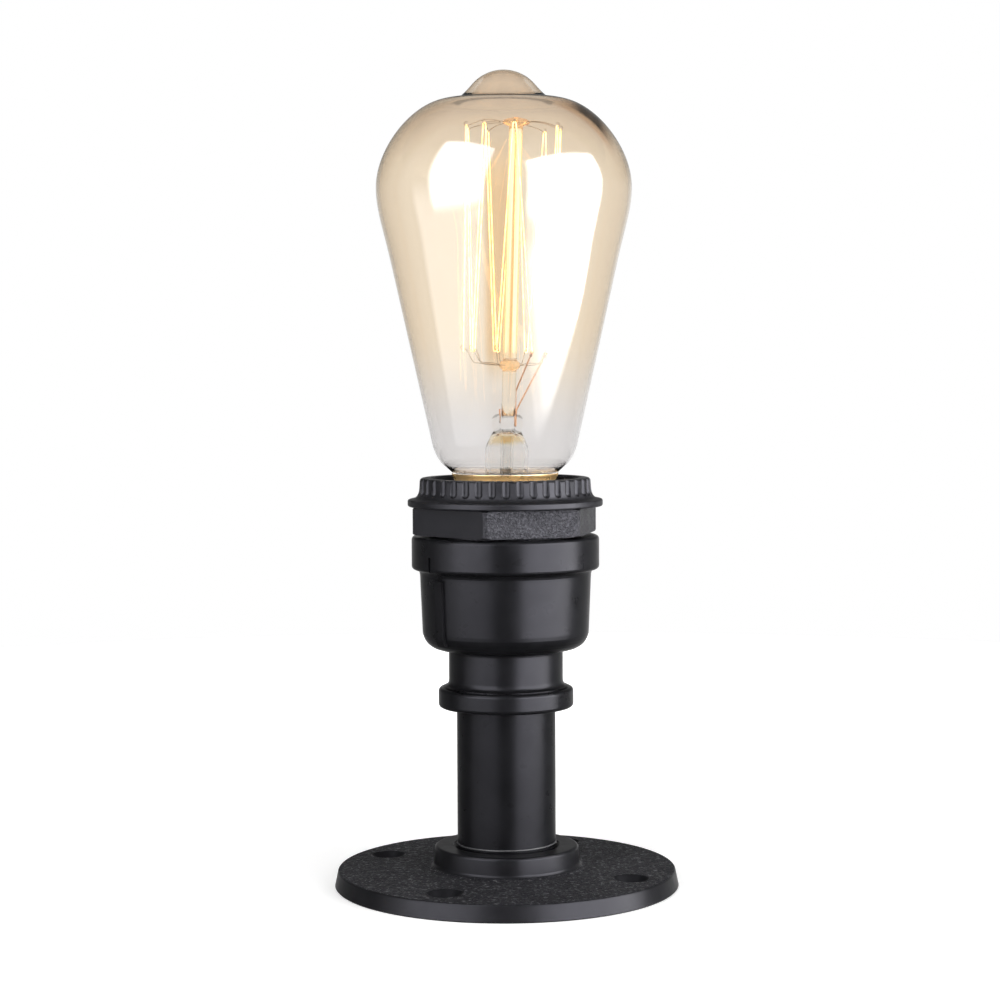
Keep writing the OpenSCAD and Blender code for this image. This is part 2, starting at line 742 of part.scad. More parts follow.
// Live lead
module live_lead() {
    color("#6b3b1f") lead(live_path, [0, 1, 0]);
}

// Neutral lead
module neutral_lead() {
    color("#2b5fa8") lead(neutral_path, [0, 1, 0]);
}

// Earth lead
module earth_lead() {
    color("#6f8f2a") lead(earth_path, [1, 0, 0]);
}

// Bare ends of the leads, in the terminals and at the flange
module lead_ends() {
    r = conductor_d / 2;
    color("#c77b4a") {
        for (path = [live_path, neutral_path, earth_path]) {
            end = path[len(path) - 1];
            translate([end[0], end[1], end[2] - bare_l]) cylinder(r = r, h = bare_l);
        }
        for (side = [0, 180])
            rotate(side) translate([live_path[0][0], 0, live_path[0][2]])
                rotate([0, 90, 0]) cylinder(r = r, h = 3.2);
        translate(earth_path[0] - [0, 3.2, 0]) rotate([-90, 0, 0]) cylinder(r = r, h = 3.2);
    }
}

// Fluted ring that turns on the holder's collar
module shade_ring() {
    bore = collar_d / 2 + play;
    flange_r = ring_flange_d / 2;
    wall_r = ring_wall_d / 2;
    flange_top = seat_z + ring_flange_t;
    top = seat_z + ring_h;
    cutter_r = wall_r + flute_r - flute_depth;
    color("#2d2d30")
    difference() {
        turned(concat(
            [[bore, seat_z + 0.5], [bore + 0.5, seat_z]],
            arc(flange_r - 0.5, seat_z + 0.5, 0.5, -90, 0, 3),
            arc(flange_r - 0.5, flange_top - 0.7, 0.5, 0, 80, 3),
            bend([flange_r - 1.4, flange_top], [wall_r + 0.3, flange_top + 0.3],
                 [wall_r + 0.1, flange_top + 2.9]),
            arc(wall_r - 0.9, top - 0.9, 0.9, 0, 90, 4),
            [[bore + 0.5, top], [bore, top - 0.5]]));
        for (i = [0:flute_count - 1])
            rotate(flute_turn + 360 * i / flute_count)
                translate([cutter_r, 0, flange_top + 2.2]) {
                    cylinder(r = flute_r, h = ring_h);
                    sphere(r = flute_r);
                }
    }
}

// Outer outline of the glass, from the end of its neck up to the tip
function glass_outline() =
    let (neck = glass_neck_d / 2, bulge = glass_bulge_d / 2, flank = glass_flank_d / 2,
         wide = glass_d / 2, lean = (flank - bulge) / (flank_z - bulge_z),
         top = tip_z - pip_r, pip_a = 41, side = pip_r * cos(pip_a), edge = pip_r * sin(pip_a))
    concat(
        [[neck, neck_end]],
        bend([neck, rim_z - 3.6], [neck, rim_z - 0.1], [cap_rim_d / 2 - 0.3, rim_z + 0.3], 6),
        sweep([cap_rim_d / 2 + 2, rim_z + 2.8], [bulge - 2.1, rim_z + 4],
              [bulge - 3 * lean, bulge_z - 3], [bulge, bulge_z]),
        sweep([flank, flank_z], [flank + 9 * lean, flank_z + 9], [wide, wide_z - 6.1],
              [wide, wide_z], 10),
        sweep([wide, wide_z + 0.01], [wide, wide_z + 10.9], [wide * 0.69, crest_z],
              [wide * 0.44, crest_z], 16),
        bend([side + 5, crest_z + 0.05], [side + 3.4, crest_z + 0.15], [side, top + edge], 5),
        arc(0, top, pip_r, pip_a + 5, 90, 8));

// Glass envelope
module lamp_glass() {
    outer = glass_outline();
    color([0.84, 0.72, 0.5, 0.4])
    turned(concat(outer, backwards(inward(outer, glass_wall))));
}

// Thin metal screw cap of the lamp
module lamp_cap() {
    r = cap_d / 2;
    outer = [[r - cap_waist, cap_end], [r - 0.6, thread_z - 0.6], [r, thread_z], [r, thread_top],
             [r + 0.4, thread_top + 0.6], [r + 0.5, rim_z - 2.2], [cap_rim_d / 2, rim_z - 0.3],
             [cap_rim_d / 2, rim_z]];
    inner = [for (p = outer) p - [cap_wall, 0]];
    color("#c8a04a")
    turned(concat(outer, backwards(inner)));
}

// Glass insulator at the bottom of the lamp cap
module cap_glass() {
    r = cap_d / 2 - cap_waist - cap_wall;
    color("#161616")
    difference() {
        turned([[0, cap_glass_z], [tip_ring_r, cap_glass_z], [r - 0.1, cap_end], [r - 0.1, cap_end + 0.6],
                [0, cap_end + 0.6]]);
        translate([0, 0, cap_glass_z - eps]) cylinder(r = 0.8, h = cap_end_h + 1);
    }
}

// Cement between the glass neck and the lamp cap
module cap_cement() {
    color("#b8ab98")
    pipe(cap_d / 2 + 0.4 - cap_wall, glass_neck_d / 2 + snug, thread_top + 0.7, rim_z - 3.7);
}

// Solder contact at the lamp's tip
module tip_contact() {
    color("#c9ccd0")
    turned([[0, lamp_z], [3.6, lamp_z], [4.6, lamp_z + 0.5], [4.8, cap_glass_z], [0, cap_glass_z]]);
}

// Everything on the stem leans by the same small angle
module leaning() {
    translate([0, 0, neck_end]) rotate([0, stem_lean, 0]) translate([0, 0, -neck_end]) children();
}

// Where each lead-in wire leaves the press
function lead_in_foot_at(side) =
    side == 0 ? [near_foot_x, -foot_y, lead_in_foot] : [far_foot_x, foot_y, lead_in_foot];

// Glass stem: flare, tube and flat press, with the lead-in wires sealed into it
module glass_stem() {
    r = stem_d / 2;
    wall = 1;
    seal_r = glass_neck_d / 2 - glass_wall - 0.35;
    low = press_z - 0.9;
    high = press_z + press_l;
    tube = concat(
        bend([seal_r, neck_end], [r, neck_end + 0.6], [r, neck_end + 7]),
        bend([r, press_z - 5], [r, press_z - 1], [r * 0.6, press_z], 6));
    color([0.9, 0.9, 0.88, 0.5])
    leaning() difference() {
        union() {
            turned(concat(tube, backwards(inward(tube, wall))));
            intersection() {
                translate([-r, -press_t / 2, low]) cube([2 * r, press_t, high - low]);
                turned(concat([[0, low], [r * 0.6, low]],
                              bend([r * 0.7, press_z + 0.6], [r * 0.74, high], [rod_d / 2, high], 6),
                              [[0, high]]));
            }
        }
        for (side = [0, 1])
            translate(lead_in_foot_at(side)) cylinder(r = lead_in_d / 2 + snug, h = press_l);
    }
}

// Exhaust tube, melted shut inside the cap
module exhaust_tube() {
    low = lamp_z + tube_gap;
    high = press_z - 1;
    color([0.9, 0.9, 0.88, 0.5])
    leaning() difference() {
        turned([[0, low], [tube_r / 2, low + 0.4], [tube_r, low + tube_tip_l], [tube_r, high], [0, high]]);
        translate([0, 0, low + tube_tip_l]) cylinder(r = tube_bore_r, h = high - low);
    }
}

// Half outline of a fused glass bead
function bead_outline(z, r, h) = [for (i = [-5:5]) [rod_d / 2 + (r - rod_d / 2) * cos(18 * i),
                                                    z + h / 2 * sin(18 * i)]];

// Glass rod with the beads that hold the support wires
module stem_rod() {
    top = top_bead_z + 1.15;
    color([0.95, 0.88, 0.74, 0.6])
    leaning() turned(concat(
        [[0, rod_z], [rod_d / 2, rod_z]],
        bead_outline(low_bead_z, low_bead_r, low_bead_h),
        bead_outline(top_bead_z, top_bead_r, top_bead_h),
        [[rod_d / 2 - 0.4, top], [0, top]]));
}

// Angles of the hooks, alternately low and high from one filament end to the other
hook_step = (360 - cage_opening) / (2 * hook_count);
function low_angle(k) = cage_turn + 2 * k * hook_step;
function top_angle(k) = cage_turn + (2 * k + 1) * hook_step;
// Point on the cage at a radius, angle and height
function cage_point(r, a, z) = [r * cos(a), r * sin(a), z];

// Wires fused into the upper bead, one to each upper hook
module upper_supports() {
    reach = cage_top_r - filament_d / 2 - support_d / 2 - 0.05;
    color("#8b6a45")
    leaning() for (k = [0:hook_count - 1]) {
        a = top_angle(k);
        bar(cage_point(top_bead_r + snug, a, top_bead_z), cage_point(reach, a, top_bead_z - 0.9),
            support_d / 2);
    }
}

// Wires fused into the lower bead, one to each lower hook
module lower_supports() {
    reach = cage_low_r - filament_d / 2 - support_d / 2 - 0.05;
    knee = reach - 2.2;
    color("#8b6a45")
    leaning() for (k = [1:hook_count - 1]) {
        a = low_angle(k);
        path = [cage_point(low_bead_r + snug, a, low_bead_z), cage_point(knee - 0.5, a, low_bead_z + 0.4),
                cage_point(knee, a, low_bead_z + 0.8), cage_point(reach, a, low_hook_z + 0.3)];
        strand(path, [for (p = path) [-sin(a), cos(a), 0]], support_d / 2, 8);
    }
}

// Two wires that feed the filament's ends from the press
module lead_in_wires() {
    reach = cage_low_r - filament_d / 2 - lead_in_d / 2 - 0.05;
    color("#b5754a")
    leaning() for (side = [0, 1]) {
        a = side == 0 ? low_angle(0) : low_angle(hook_count);
        foot = lead_in_foot_at(side) + [0, 0, snug];
        top = lead_in_bends[side];
        path = [foot, [foot[0], foot[1], top - 0.5], [foot[0] + 0.15, foot[1], top],
                cage_point(reach, a, low_hook_z)];
        strand(path, [for (p = path) [-sin(a), cos(a), 0]], lead_in_d / 2, 8);
    }
}

// One wire, strung up and down between the hooks
module filament() {
    half = 2;
    path = concat(
        [cage_point(cage_low_r, low_angle(0) + half, low_hook_z)],
        [for (k = [0:hook_count - 1], s = [0:3])
            s < 2 ? cage_point(cage_top_r, top_angle(k) + (s == 0 ? -half : half), top_hook_z)
                  : cage_point(cage_low_r, low_angle(k + 1) + (s == 2 ? -half : half), low_hook_z)]);
    whole = [for (i = [0:len(path) - 2]) path[i]];
    color("#ffb347")
    leaning() strand(whole, [for (p = whole) [p[0], p[1], 0]], filament_d / 2, 6);
}

floor_flange();
pipe_nipple();
reducing_coupling();
hex_bushing();
holder_skirt();
holder_cap();
porcelain_insert();
screw_shell();
shell_rivet();
contact_foot();
contact_leaf();
contact_rivet();
terminal_blocks();
terminal_screws();
entry_nipple();
support_washer();
lock_nut();
earth_tag();
earth_screw();
live_lead();
neutral_lead();
earth_lead();
lead_ends();
shade_ring();
lamp_glass();
lamp_cap();
cap_glass();
cap_cement();
tip_contact();
glass_stem();
exhaust_tube();
stem_rod();
upper_supports();
lower_supports();
lead_in_wires();
filament();
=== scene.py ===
import math

import bpy
from mathutils import Matrix, Vector


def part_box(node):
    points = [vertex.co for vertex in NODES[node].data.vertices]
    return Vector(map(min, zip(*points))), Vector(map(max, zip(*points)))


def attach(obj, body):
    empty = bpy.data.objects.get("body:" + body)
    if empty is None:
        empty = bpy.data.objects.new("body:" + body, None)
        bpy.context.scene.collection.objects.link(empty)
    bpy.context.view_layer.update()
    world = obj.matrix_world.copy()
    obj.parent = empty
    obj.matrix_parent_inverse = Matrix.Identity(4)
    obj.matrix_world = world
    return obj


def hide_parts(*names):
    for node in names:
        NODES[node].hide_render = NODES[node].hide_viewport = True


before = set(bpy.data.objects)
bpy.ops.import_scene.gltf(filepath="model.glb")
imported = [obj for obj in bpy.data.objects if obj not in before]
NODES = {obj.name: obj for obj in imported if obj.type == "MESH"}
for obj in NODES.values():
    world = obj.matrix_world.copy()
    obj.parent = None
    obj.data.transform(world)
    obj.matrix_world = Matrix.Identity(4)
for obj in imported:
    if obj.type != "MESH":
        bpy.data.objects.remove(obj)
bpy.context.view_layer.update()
scene = bpy.context.scene
MM = 0.001


def node_z(name, corner):
    """Lowest (0) or highest (1) height of a CAD node in millimetres."""
    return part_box(name)[corner][2] / MM


# Heights on the lamp, in millimetres
RIM = node_z("lamp_cap", 1)
TIP = node_z("lamp_glass", 1)
NECK_END = node_z("lamp_glass", 0)
LOW_HOOK = RIM + 32.9
TOP_HOOK = TIP - 15.3
LOW_BEAD = LOW_HOOK - 3.6
TOP_BEAD = TOP_HOOK + 1.4
PRESS = RIM + 11.2
PRESS_TOP = PRESS + 4.3

# Camera
CAMERA_AT = (-0.00141, -0.642, 0.14265)
FOCAL_LENGTH = 85.2
PITCH = math.radians(3.325)
ROLL = math.radians(-0.26)


def place_camera():
    data = bpy.data.cameras.new("camera")
    data.sensor_width = 36.0
    data.lens = FOCAL_LENGTH
    data.clip_start = 0.01
    camera = bpy.data.objects.new("camera", data)
    camera.location = CAMERA_AT
    turned = Matrix.Rotation(math.pi / 2 - PITCH, 3, "X") @ Matrix.Rotation(ROLL, 3, "Z")
    camera.rotation_euler = turned.to_euler()
    scene.collection.objects.link(camera)
    scene.camera = camera


place_camera()


# Node helpers
class Tree:
    """Adds shader nodes and links in few words."""

    def __init__(self, tree):
        self.tree = tree
        tree.nodes.clear()

    def add(self, kind, sockets=None, **props):
        node = self.tree.nodes.new(kind)
        for key, value in props.items():
            setattr(node, key, value)
        for key, value in (sockets or {}).items():
            target = node.inputs[key]
            if isinstance(value, bpy.types.NodeSocket):
                self.link(value, target)
            else:
                target.default_value = value
        return node

    def link(self, output, target):
        self.tree.links.new(output, target)

    def math(self, operation, a, b=0.0, c=0.0):
        return self.add("ShaderNodeMath", {0: a, 1: b, 2: c}, operation=operation).outputs[0]

    def product(self, first, *others):
        """The factors multiplied together."""
        for other in others:
            first = self.math("MULTIPLY", first, other)
        return first

    def vector(self, operation, a, b=(0.0, 0.0, 0.0)):
        return self.add("ShaderNodeVectorMath", {0: a, 1: b}, operation=operation).outputs

    def dot(self, a, b):
        return self.vector("DOT_PRODUCT", a, b)["Value"]

    def xyz(self, vector):
        """The three parts of a vector."""
        return tuple(self.add("ShaderNodeSeparateXYZ", {0: vector}).outputs)

    def ranged(self, value, low, high, to_low=0.0, to_high=1.0, smooth=True):
        """The value led from low to high into to_low to to_high, and held at their ends."""
        node = self.add(
            "ShaderNodeMapRange",
            {"Value": value, "From Min": low, "From Max": high, "To Min": to_low, "To Max": to_high},
            interpolation_type="SMOOTHSTEP" if smooth else "LINEAR",
        )
        return node.outputs["Result"]

    def fade_out(self, value, low, high):
        return self.ranged(value, low, high, 1.0, 0.0)

    def mixed(self, factor, a, b, blend="MIX"):
        """The colour a where the factor is 0, and b blended with it where the factor is 1."""
        node = self.add("ShaderNodeMix", data_type="RGBA", blend_type=blend)
        for key, value in (("Factor_Float", factor), ("A_Color", a), ("B_Color", b)):
            socket = next(s for s in node.inputs if s.identifier == key)
            if isinstance(value, bpy.types.NodeSocket):
                self.link(value, socket)
            else:
                socket.default_value = value
        return next(s for s in node.outputs if s.identifier == "Result_Color")

    def place(self):
        """The position in the object's own axes, in metres."""
        return self.add("ShaderNodeTexCoord").outputs["Object"]

    def normal(self):
        """The normal in the object's own axes, so that it holds when the piece is turned."""
        return self.add("ShaderNodeTexCoord").outputs["Normal"]

    def facing(self):
        """0 where the surface faces the eye and 1 where it is seen edge on."""
        return self.add("ShaderNodeLayerWeight", {"Blend": 0.5}).outputs["Facing"]

    def noise(self, scale, detail=4.0, rough=0.55, distortion=0.0):
        return self.add(
            "ShaderNodeTexNoise",
            {"Vector": self.place(), "Scale": scale, "Detail": detail, "Roughness": rough,
             "Distortion": distortion},
        ).outputs["Fac"]

    def bump(self, height, distance, normal=None):
        sockets = {"Height": height, "Distance": distance, "Strength": 1.0}
        if normal is not None:
            sockets["Normal"] = normal
        return self.add("ShaderNodeBump", sockets).outputs["Normal"]


def rgb(r, g, b):
    return (r, g, b, 1.0)


def grey(value):
    return rgb(value, value, value)


def material(name):
    """A new material, its tree and its output node."""
    made = bpy.data.materials.new(name)
    made.use_nodes = True
    tree = Tree(made.node_tree)
    output = tree.add("ShaderNodeOutputMaterial")
    return made, tree, output


def surface(tree, output, sockets):
    """The Principled shader of a plain material."""
    shader = tree.add("ShaderNodeBsdfPrincipled", sockets)
    tree.link(shader.outputs[0], output.inputs["Surface"])


# Materials
# The part of a noise's range over which a colour or the roughness changes
COLOR_NOISE = (0.35, 0.7)
ROUGH_NOISE = (0.3, 0.7)
PAINT_LOW = rgb(0.0060, 0.0060, 0.0068)
PAINT_HIGH = rgb(0.0092, 0.0092, 0.0104)
GLOSS_TINT = rgb(0.88, 0.87, 1.0)
ORANGE_PEEL = 0.00001


def painted(name, stipple=None, shine=(0.27, 0.33), specular=0.072, grain=1700.0, depth=0.00008,
            dull=0.08, glint_specks=None):
    """Satin black paint over iron.

    stipple(tree) gives where the casting is coarse, from 0 to 1. grain and depth are the scale and height
    of its pits, dull is what it adds to the roughness, and glint_specks are the colour and noise levels of
    painted glints on the pits, light specks that stand in for highlights. shine is the range of the
    roughness.
    """
    made, t, out = material(name)
    base = t.mixed(t.ranged(t.noise(90.0, 5.0), *COLOR_NOISE), PAINT_LOW, PAINT_HIGH)
    rough = t.ranged(t.noise(220.0, 4.0), *ROUGH_NOISE, *shine)
    normal = t.bump(t.noise(1500.0, 3.0), ORANGE_PEEL)
    if stipple is not None:
        mask = stipple(t)
        pits = t.ranged(t.noise(grain, 2.0, 0.5), 0.34, 0.52)
        grit = t.math("ADD", pits, t.product(t.noise(2 * grain, 2.0), 0.4))
        normal = t.bump(t.product(grit, mask), depth, normal)
        rough = t.math("ADD", rough, t.product(mask, dull))
        if glint_specks is not None:
            # Light specks on the pits are painted glints: lighter colour that stands in for highlights
            color, low, high = glint_specks
            painted_glints = t.ranged(t.noise(grain, 2.0, 0.5, 0.8), low, high)
            base = t.mixed(t.product(painted_glints, mask), base, color)
    surface(t, out, {"Base Color": base, "Roughness": rough, "Normal": normal,
                     "Specular IOR Level": specular, "Specular Tint": GLOSS_TINT})
    return made


FLANGE_FACE = (0.0062, 0.0072)
HEX_PLAIN = math.radians(227)


def face_normal(t):
    """The three parts of the face's normal on the standing fittings."""
    return t.xyz(t.add("ShaderNodeNewGeometry").outputs["True Normal"])


def flange_stipple(t):
    """The flange's top face outside the hub."""
    up = t.ranged(face_normal(t)[2], 0.75, 0.95)
    return t.product(up, t.fade_out(t.xyz(t.place())[2], *FLANGE_FACE))


def hex_stipple(t):
    """Every face of the hexagon except the plain one, where size marks would be, and the one opposite."""
    normal = face_normal(t)
    along_x = t.product(normal[0], math.cos(HEX_PLAIN))
    along_y = t.product(normal[1], math.sin(HEX_PLAIN))
    return t.fade_out(t.math("ABSOLUTE", t.math("ADD", along_x, along_y)), 0.8, 0.9)


TARNISH = 0.82


def metal(name, base, rough=(0.2, 0.35), scale=400.0, peel=0.00001, metallic=1.0, lining=None):
    """Bare metal. lining is the colour of what lies against its side towards the axis."""
    made, t, out = material(name)
    darker = rgb(*(TARNISH * c for c in base[:3]))
    color = t.mixed(t.ranged(t.noise(scale, 4.0), *COLOR_NOISE), base, darker)
    if lining is not None:
        from_axis = t.vector("MULTIPLY", t.place(), (1.0, 1.0, 0.0))[0]
        inside = t.math("LESS_THAN", t.dot(from_axis, t.normal()), 0.0)
        color = t.mixed(inside, color, lining)
        metallic = t.product(t.math("SUBTRACT", 1.0, inside), metallic)
    surface(t, out, {"Base Color": color, "Metallic": metallic,
                     "Roughness": t.ranged(t.noise(scale * 2), *ROUGH_NOISE, *rough),
                     "Normal": t.bump(t.noise(scale * 5), peel)})
    return made


def plain(name, base, other, rough=(0.3, 0.5), scale=300.0, peel=0.00002, coat=0.0, specular=0.5):
    """A matt or glazed material that wanders between two colours."""
    made, t, out = material(name)
    color = t.mixed(t.ranged(t.noise(scale, 4.0), *COLOR_NOISE), base, other)
    surface(t, out, {"Base Color": color,
                     "Roughness": t.ranged(t.noise(scale * 2), *ROUGH_NOISE, *rough),
                     "Normal": t.bump(t.noise(scale * 4), peel), "Coat Weight": coat,
                     "Specular IOR Level": specular})
    return made


GLASS_SHADOW = grey(0.92)


def clear(name, tint_of, ior=1.47, glow=None):
    """Glass that casts a faint shadow. tint_of(tree) gives its colour, and glow(tree, shader) adds light."""
    made, t, out = material(name)
    glass = t.add("ShaderNodeBsdfPrincipled", {"Base Color": tint_of(t), "Roughness": 0.0, "IOR": ior,
                                               "Transmission Weight": 1.0})
    if glow is not None:
        glow(t, glass)
    faint = t.add("ShaderNodeBsdfTransparent", {"Color": GLASS_SHADOW})
    is_shadow = t.add("ShaderNodeLightPath").outputs["Is Shadow Ray"]
    mix = t.add("ShaderNodeMixShader", {0: is_shadow, 1: glass.outputs[0], 2: faint.outputs[0]})
    t.link(mix.outputs[0], out.inputs["Surface"])
    return made


AMBER_CROWN = rgb(0.822, 0.722, 0.608)
AMBER = rgb(0.955, 0.877, 0.764)
CLEAR_LOW = rgb(0.862, 0.848, 0.843)
AMBER_EDGE = rgb(0.55, 0.45, 0.33)
CLEAR_EDGE = rgb(0.84, 0.82, 0.81)
# Colours of the painted dark reflection down the right of the crown
REFLECTION_BROWN = rgb(0.70, 0.52, 0.40)
SHADED = rgb(0.02, 0.02, 0.02)
WARMED = rgb(0.96, 0.88, 0.78)

# A point inside the envelope, and where its tints change, in metres up the part or to the right of the axis
GLASS_MIDDLE = (0.0, 0.0, (RIM + 62) * MM)
AMBER_START = (0.124, 0.156)
CROWN_START = (0.196, 0.218)
REFLECTION_START = (0.190, 0.200)
REFLECTION_RIGHT = (0.0250, 0.0300)
WARM_LEFT = (-0.0062, -0.0040)
WARM_RIGHT = (0.0004, 0.0024)
WARM_START = ((RIM + 26) * MM, (RIM + 37) * MM)
WARM_END = ((RIM + 80) * MM, (RIM + 98) * MM)


def outer_side(t):
    """1 on the envelope's outside and 0 on its inside."""
    from_middle = t.vector("SUBTRACT", t.place(), GLASS_MIDDLE)[0]
    return t.math("GREATER_THAN", t.dot(from_middle, t.normal()), 0.0)


def with_painted_reflection(t, tint, across, crown):
    """The tint with a painted dark reflection, brown then near black, down the crown's right."""
    facing = t.facing()
    crown = t.product(crown, t.fade_out(across, *REFLECTION_RIGHT))
    for color, left, edge_start in ((REFLECTION_BROWN, (0.008, 0.018), 0.55), (SHADED, (0.015, 0.0205), 0.62)):
        near_edge = t.ranged(facing, edge_start, edge_start + 0.07)
        painted_reflection = t.product(t.ranged(across, *left), crown, near_edge)
        tint = t.mixed(painted_reflection, tint, color, "MULTIPLY")
    return tint


def warmed(t, tint, across, height):
    """The tint with a band beside the rod, where the filament's light is painted in as warmth."""
    width = t.product(t.ranged(across, *WARM_LEFT), t.fade_out(across, *WARM_RIGHT))
    warm = t.product(width, t.ranged(height, *WARM_START), t.fade_out(height, *WARM_END))
    return t.mixed(warm, tint, WARMED, "MULTIPLY")


def envelope_tint(t):
    """Amber at the crown and clear above the cap, darker where the outside is seen edge on."""
    across, _, height = t.xyz(t.place())
    height = t.math("ADD", height, t.product(t.noise(30.0, 2.0), 0.006))
    amber = t.ranged(height, *AMBER_START)
    low = t.mixed(amber, CLEAR_LOW, AMBER)
    tint = t.mixed(t.ranged(height, *CROWN_START), low, AMBER_CROWN)
    outer = outer_side(t)
    edge = t.product(t.ranged(t.facing(), 0.35, 0.80, smooth=False), outer)
    tint = t.mixed(edge, tint, t.mixed(amber, CLEAR_EDGE, AMBER_EDGE), "MULTIPLY")
    # A dark reflection is painted into the tint down the crown's right
    tint = with_painted_reflection(t, tint, across, t.product(t.ranged(height, *REFLECTION_START), outer))
    return warmed(t, tint, across, height)


def stem_tint(t):
    """Clear glass, golden in a band just below the top of the press."""
    height = t.xyz(t.place())[2]
    wander = t.product(t.math("SUBTRACT", t.noise(260.0, 3.0), 0.5), 0.003)
    above = t.math("SUBTRACT", t.math("ADD", height, wander), PRESS * MM)
    golden = t.product(t.ranged(above, -0.0034, -0.0022), t.fade_out(above, -0.0012, 0.0004))
    return t.mixed(golden, rgb(0.985, 0.98, 0.965), rgb(0.97, 0.88, 0.70))


def rod_parts(t):
    """Where the rod is bead, where it is in the cage, and its two bands of painted light, each 0 to 1."""
    height = t.xyz(t.place())[2]
    beads = []
    for middle, near, far in ((LOW_BEAD * MM, 0.0011, 0.0018), (TOP_BEAD * MM, 0.0010, 0.0022)):
        away = t.math("ABSOLUTE", t.math("SUBTRACT", height, middle))
        beads.append(t.fade_out(away, near, far))
    caged = t.ranged(height, (LOW_BEAD - 1) * MM, (LOW_BEAD + 8) * MM)
    facing = t.facing()
    band = t.product(t.ranged(facing, 0.003, 0.02, smooth=False), t.fade_out(facing, 0.30, 0.45))
    return t.math("MAXIMUM", *beads), caged, band, facing


def rod_tint(t):
    """Clear rod and amber beads; in the cage, painted light: amber beside its bands, pale in them."""
    beads, caged, band, facing = rod_parts(t)
    lit = t.mixed(band, rgb(0.93, 0.72, 0.46), rgb(0.99, 0.96, 0.88))
    tint = t.mixed(caged, rgb(0.97, 0.93, 0.86), lit)
    amber = t.mixed(t.ranged(facing, 0.4, 0.9), rgb(0.99, 0.80, 0.56), rgb(0.92, 0.50, 0.24))
    return t.mixed(beads, tint, amber)


def rod_glow(t, shader):
    """The filament's light, painted onto the rod as a glow in two bright bands, and faint on the beads."""
    beads, caged, band, _ = rod_parts(t)
    color = t.mixed(band, rgb(0.80, 0.38, 0.12), rgb(1.0, 0.88, 0.58))
    color = t.mixed(beads, color, rgb(1.0, 0.45, 0.14))
    power = t.product(t.ranged(caged, 0.0, 1.0, 0.04, 0.30), t.ranged(band, 0.0, 1.0, 0.4, 1.0))
    power = t.ranged(beads, 0.0, 1.0, power, 0.07)
    t.link(color, shader.inputs["Emission Color"])
    t.link(power, shader.inputs["Emission Strength"])


def glowing(name, color, strength, other, other_strength, scale):
    """A glow that wanders between two colours and strengths."""
    made, t, out = material(name)
    along = t.noise(scale, 2.0)
    tone = t.mixed(t.ranged(along, 0.35, 0.65), color, other)
    power = t.ranged(along, 0.35, 0.65, strength, other_strength)
    surface(t, out, {"Base Color": rgb(0.25, 0.2, 0.16), "Roughness": 0.5, "Emission Color": tone,
                     "Emission Strength": power})
    return made


MATERIALS = {
    "iron": painted("iron"),
    # The flange's and hexagon's light specks are painted glints
    "flange_iron": painted("flange_iron", flange_stipple, (0.30, 0.36), grain=1100.0, depth=0.00030,
                           dull=0.25, glint_specks=(rgb(0.085, 0.085, 0.088), 0.57, 0.67)),
    "hex_iron": painted("hex_iron", hex_stipple, (0.30, 0.36), specular=0.095,
                        glint_specks=(rgb(0.045, 0.045, 0.050), 0.50, 0.70)),
    "pipe_black": painted("pipe_black", specular=0.053),
    "holder_black": painted("holder_black"),
    "thread_grey": plain("thread_grey", rgb(0.02, 0.02, 0.022), rgb(0.035, 0.035, 0.038), (0.4, 0.5),
                         specular=0.25),
    "ring_black": painted("ring_black", None, (0.36, 0.44), 0.115),
    "porcelain": plain("porcelain", rgb(0.80, 0.78, 0.72), rgb(0.74, 0.71, 0.64), (0.12, 0.25),
                       coat=0.5),
    "brass": metal("brass", rgb(0.72, 0.52, 0.23), (0.2, 0.38)),
    "gold": metal("gold", rgb(0.70, 0.47, 0.21), (0.24, 0.36), 150.0, 0.000002, metallic=0.55,
                  lining=rgb(0.72, 0.70, 0.68)),
    "steel": metal("steel", rgb(0.56, 0.57, 0.58), (0.22, 0.38)),
    "live": plain("live", rgb(0.17, 0.075, 0.03), rgb(0.13, 0.055, 0.02)),
    "neutral": plain("neutral", rgb(0.03, 0.10, 0.36), rgb(0.02, 0.08, 0.30)),
    "earth": plain("earth", rgb(0.16, 0.28, 0.03), rgb(0.12, 0.22, 0.02)),
    "copper": metal("copper", rgb(0.80, 0.42, 0.25), (0.25, 0.4)),
    "envelope": clear("envelope", envelope_tint),
    "stem_glass": clear("stem_glass", stem_tint, ior=1.37),
    "rod_glass": clear("rod_glass", rod_tint, glow=rod_glow),
    "black_glass": plain("black_glass", rgb(0.01, 0.01, 0.012), rgb(0.02, 0.018, 0.02), (0.06, 0.14),
                         coat=0.6),
    "cement": plain("cement", rgb(0.50, 0.44, 0.36), rgb(0.42, 0.36, 0.29), (0.7, 0.9), 900.0, 0.00008),
    "solder": metal("solder", rgb(0.62, 0.63, 0.65), (0.3, 0.5)),
    "support": metal("support", rgb(0.42, 0.34, 0.25), (0.3, 0.45)),
    "lead_in": metal("lead_in", rgb(0.85, 0.47, 0.27), (0.25, 0.4)),
    "filament": glowing("filament", rgb(1.0, 0.55, 0.17), 3.2, rgb(1.0, 0.63, 0.25), 4.2, 500.0),
}

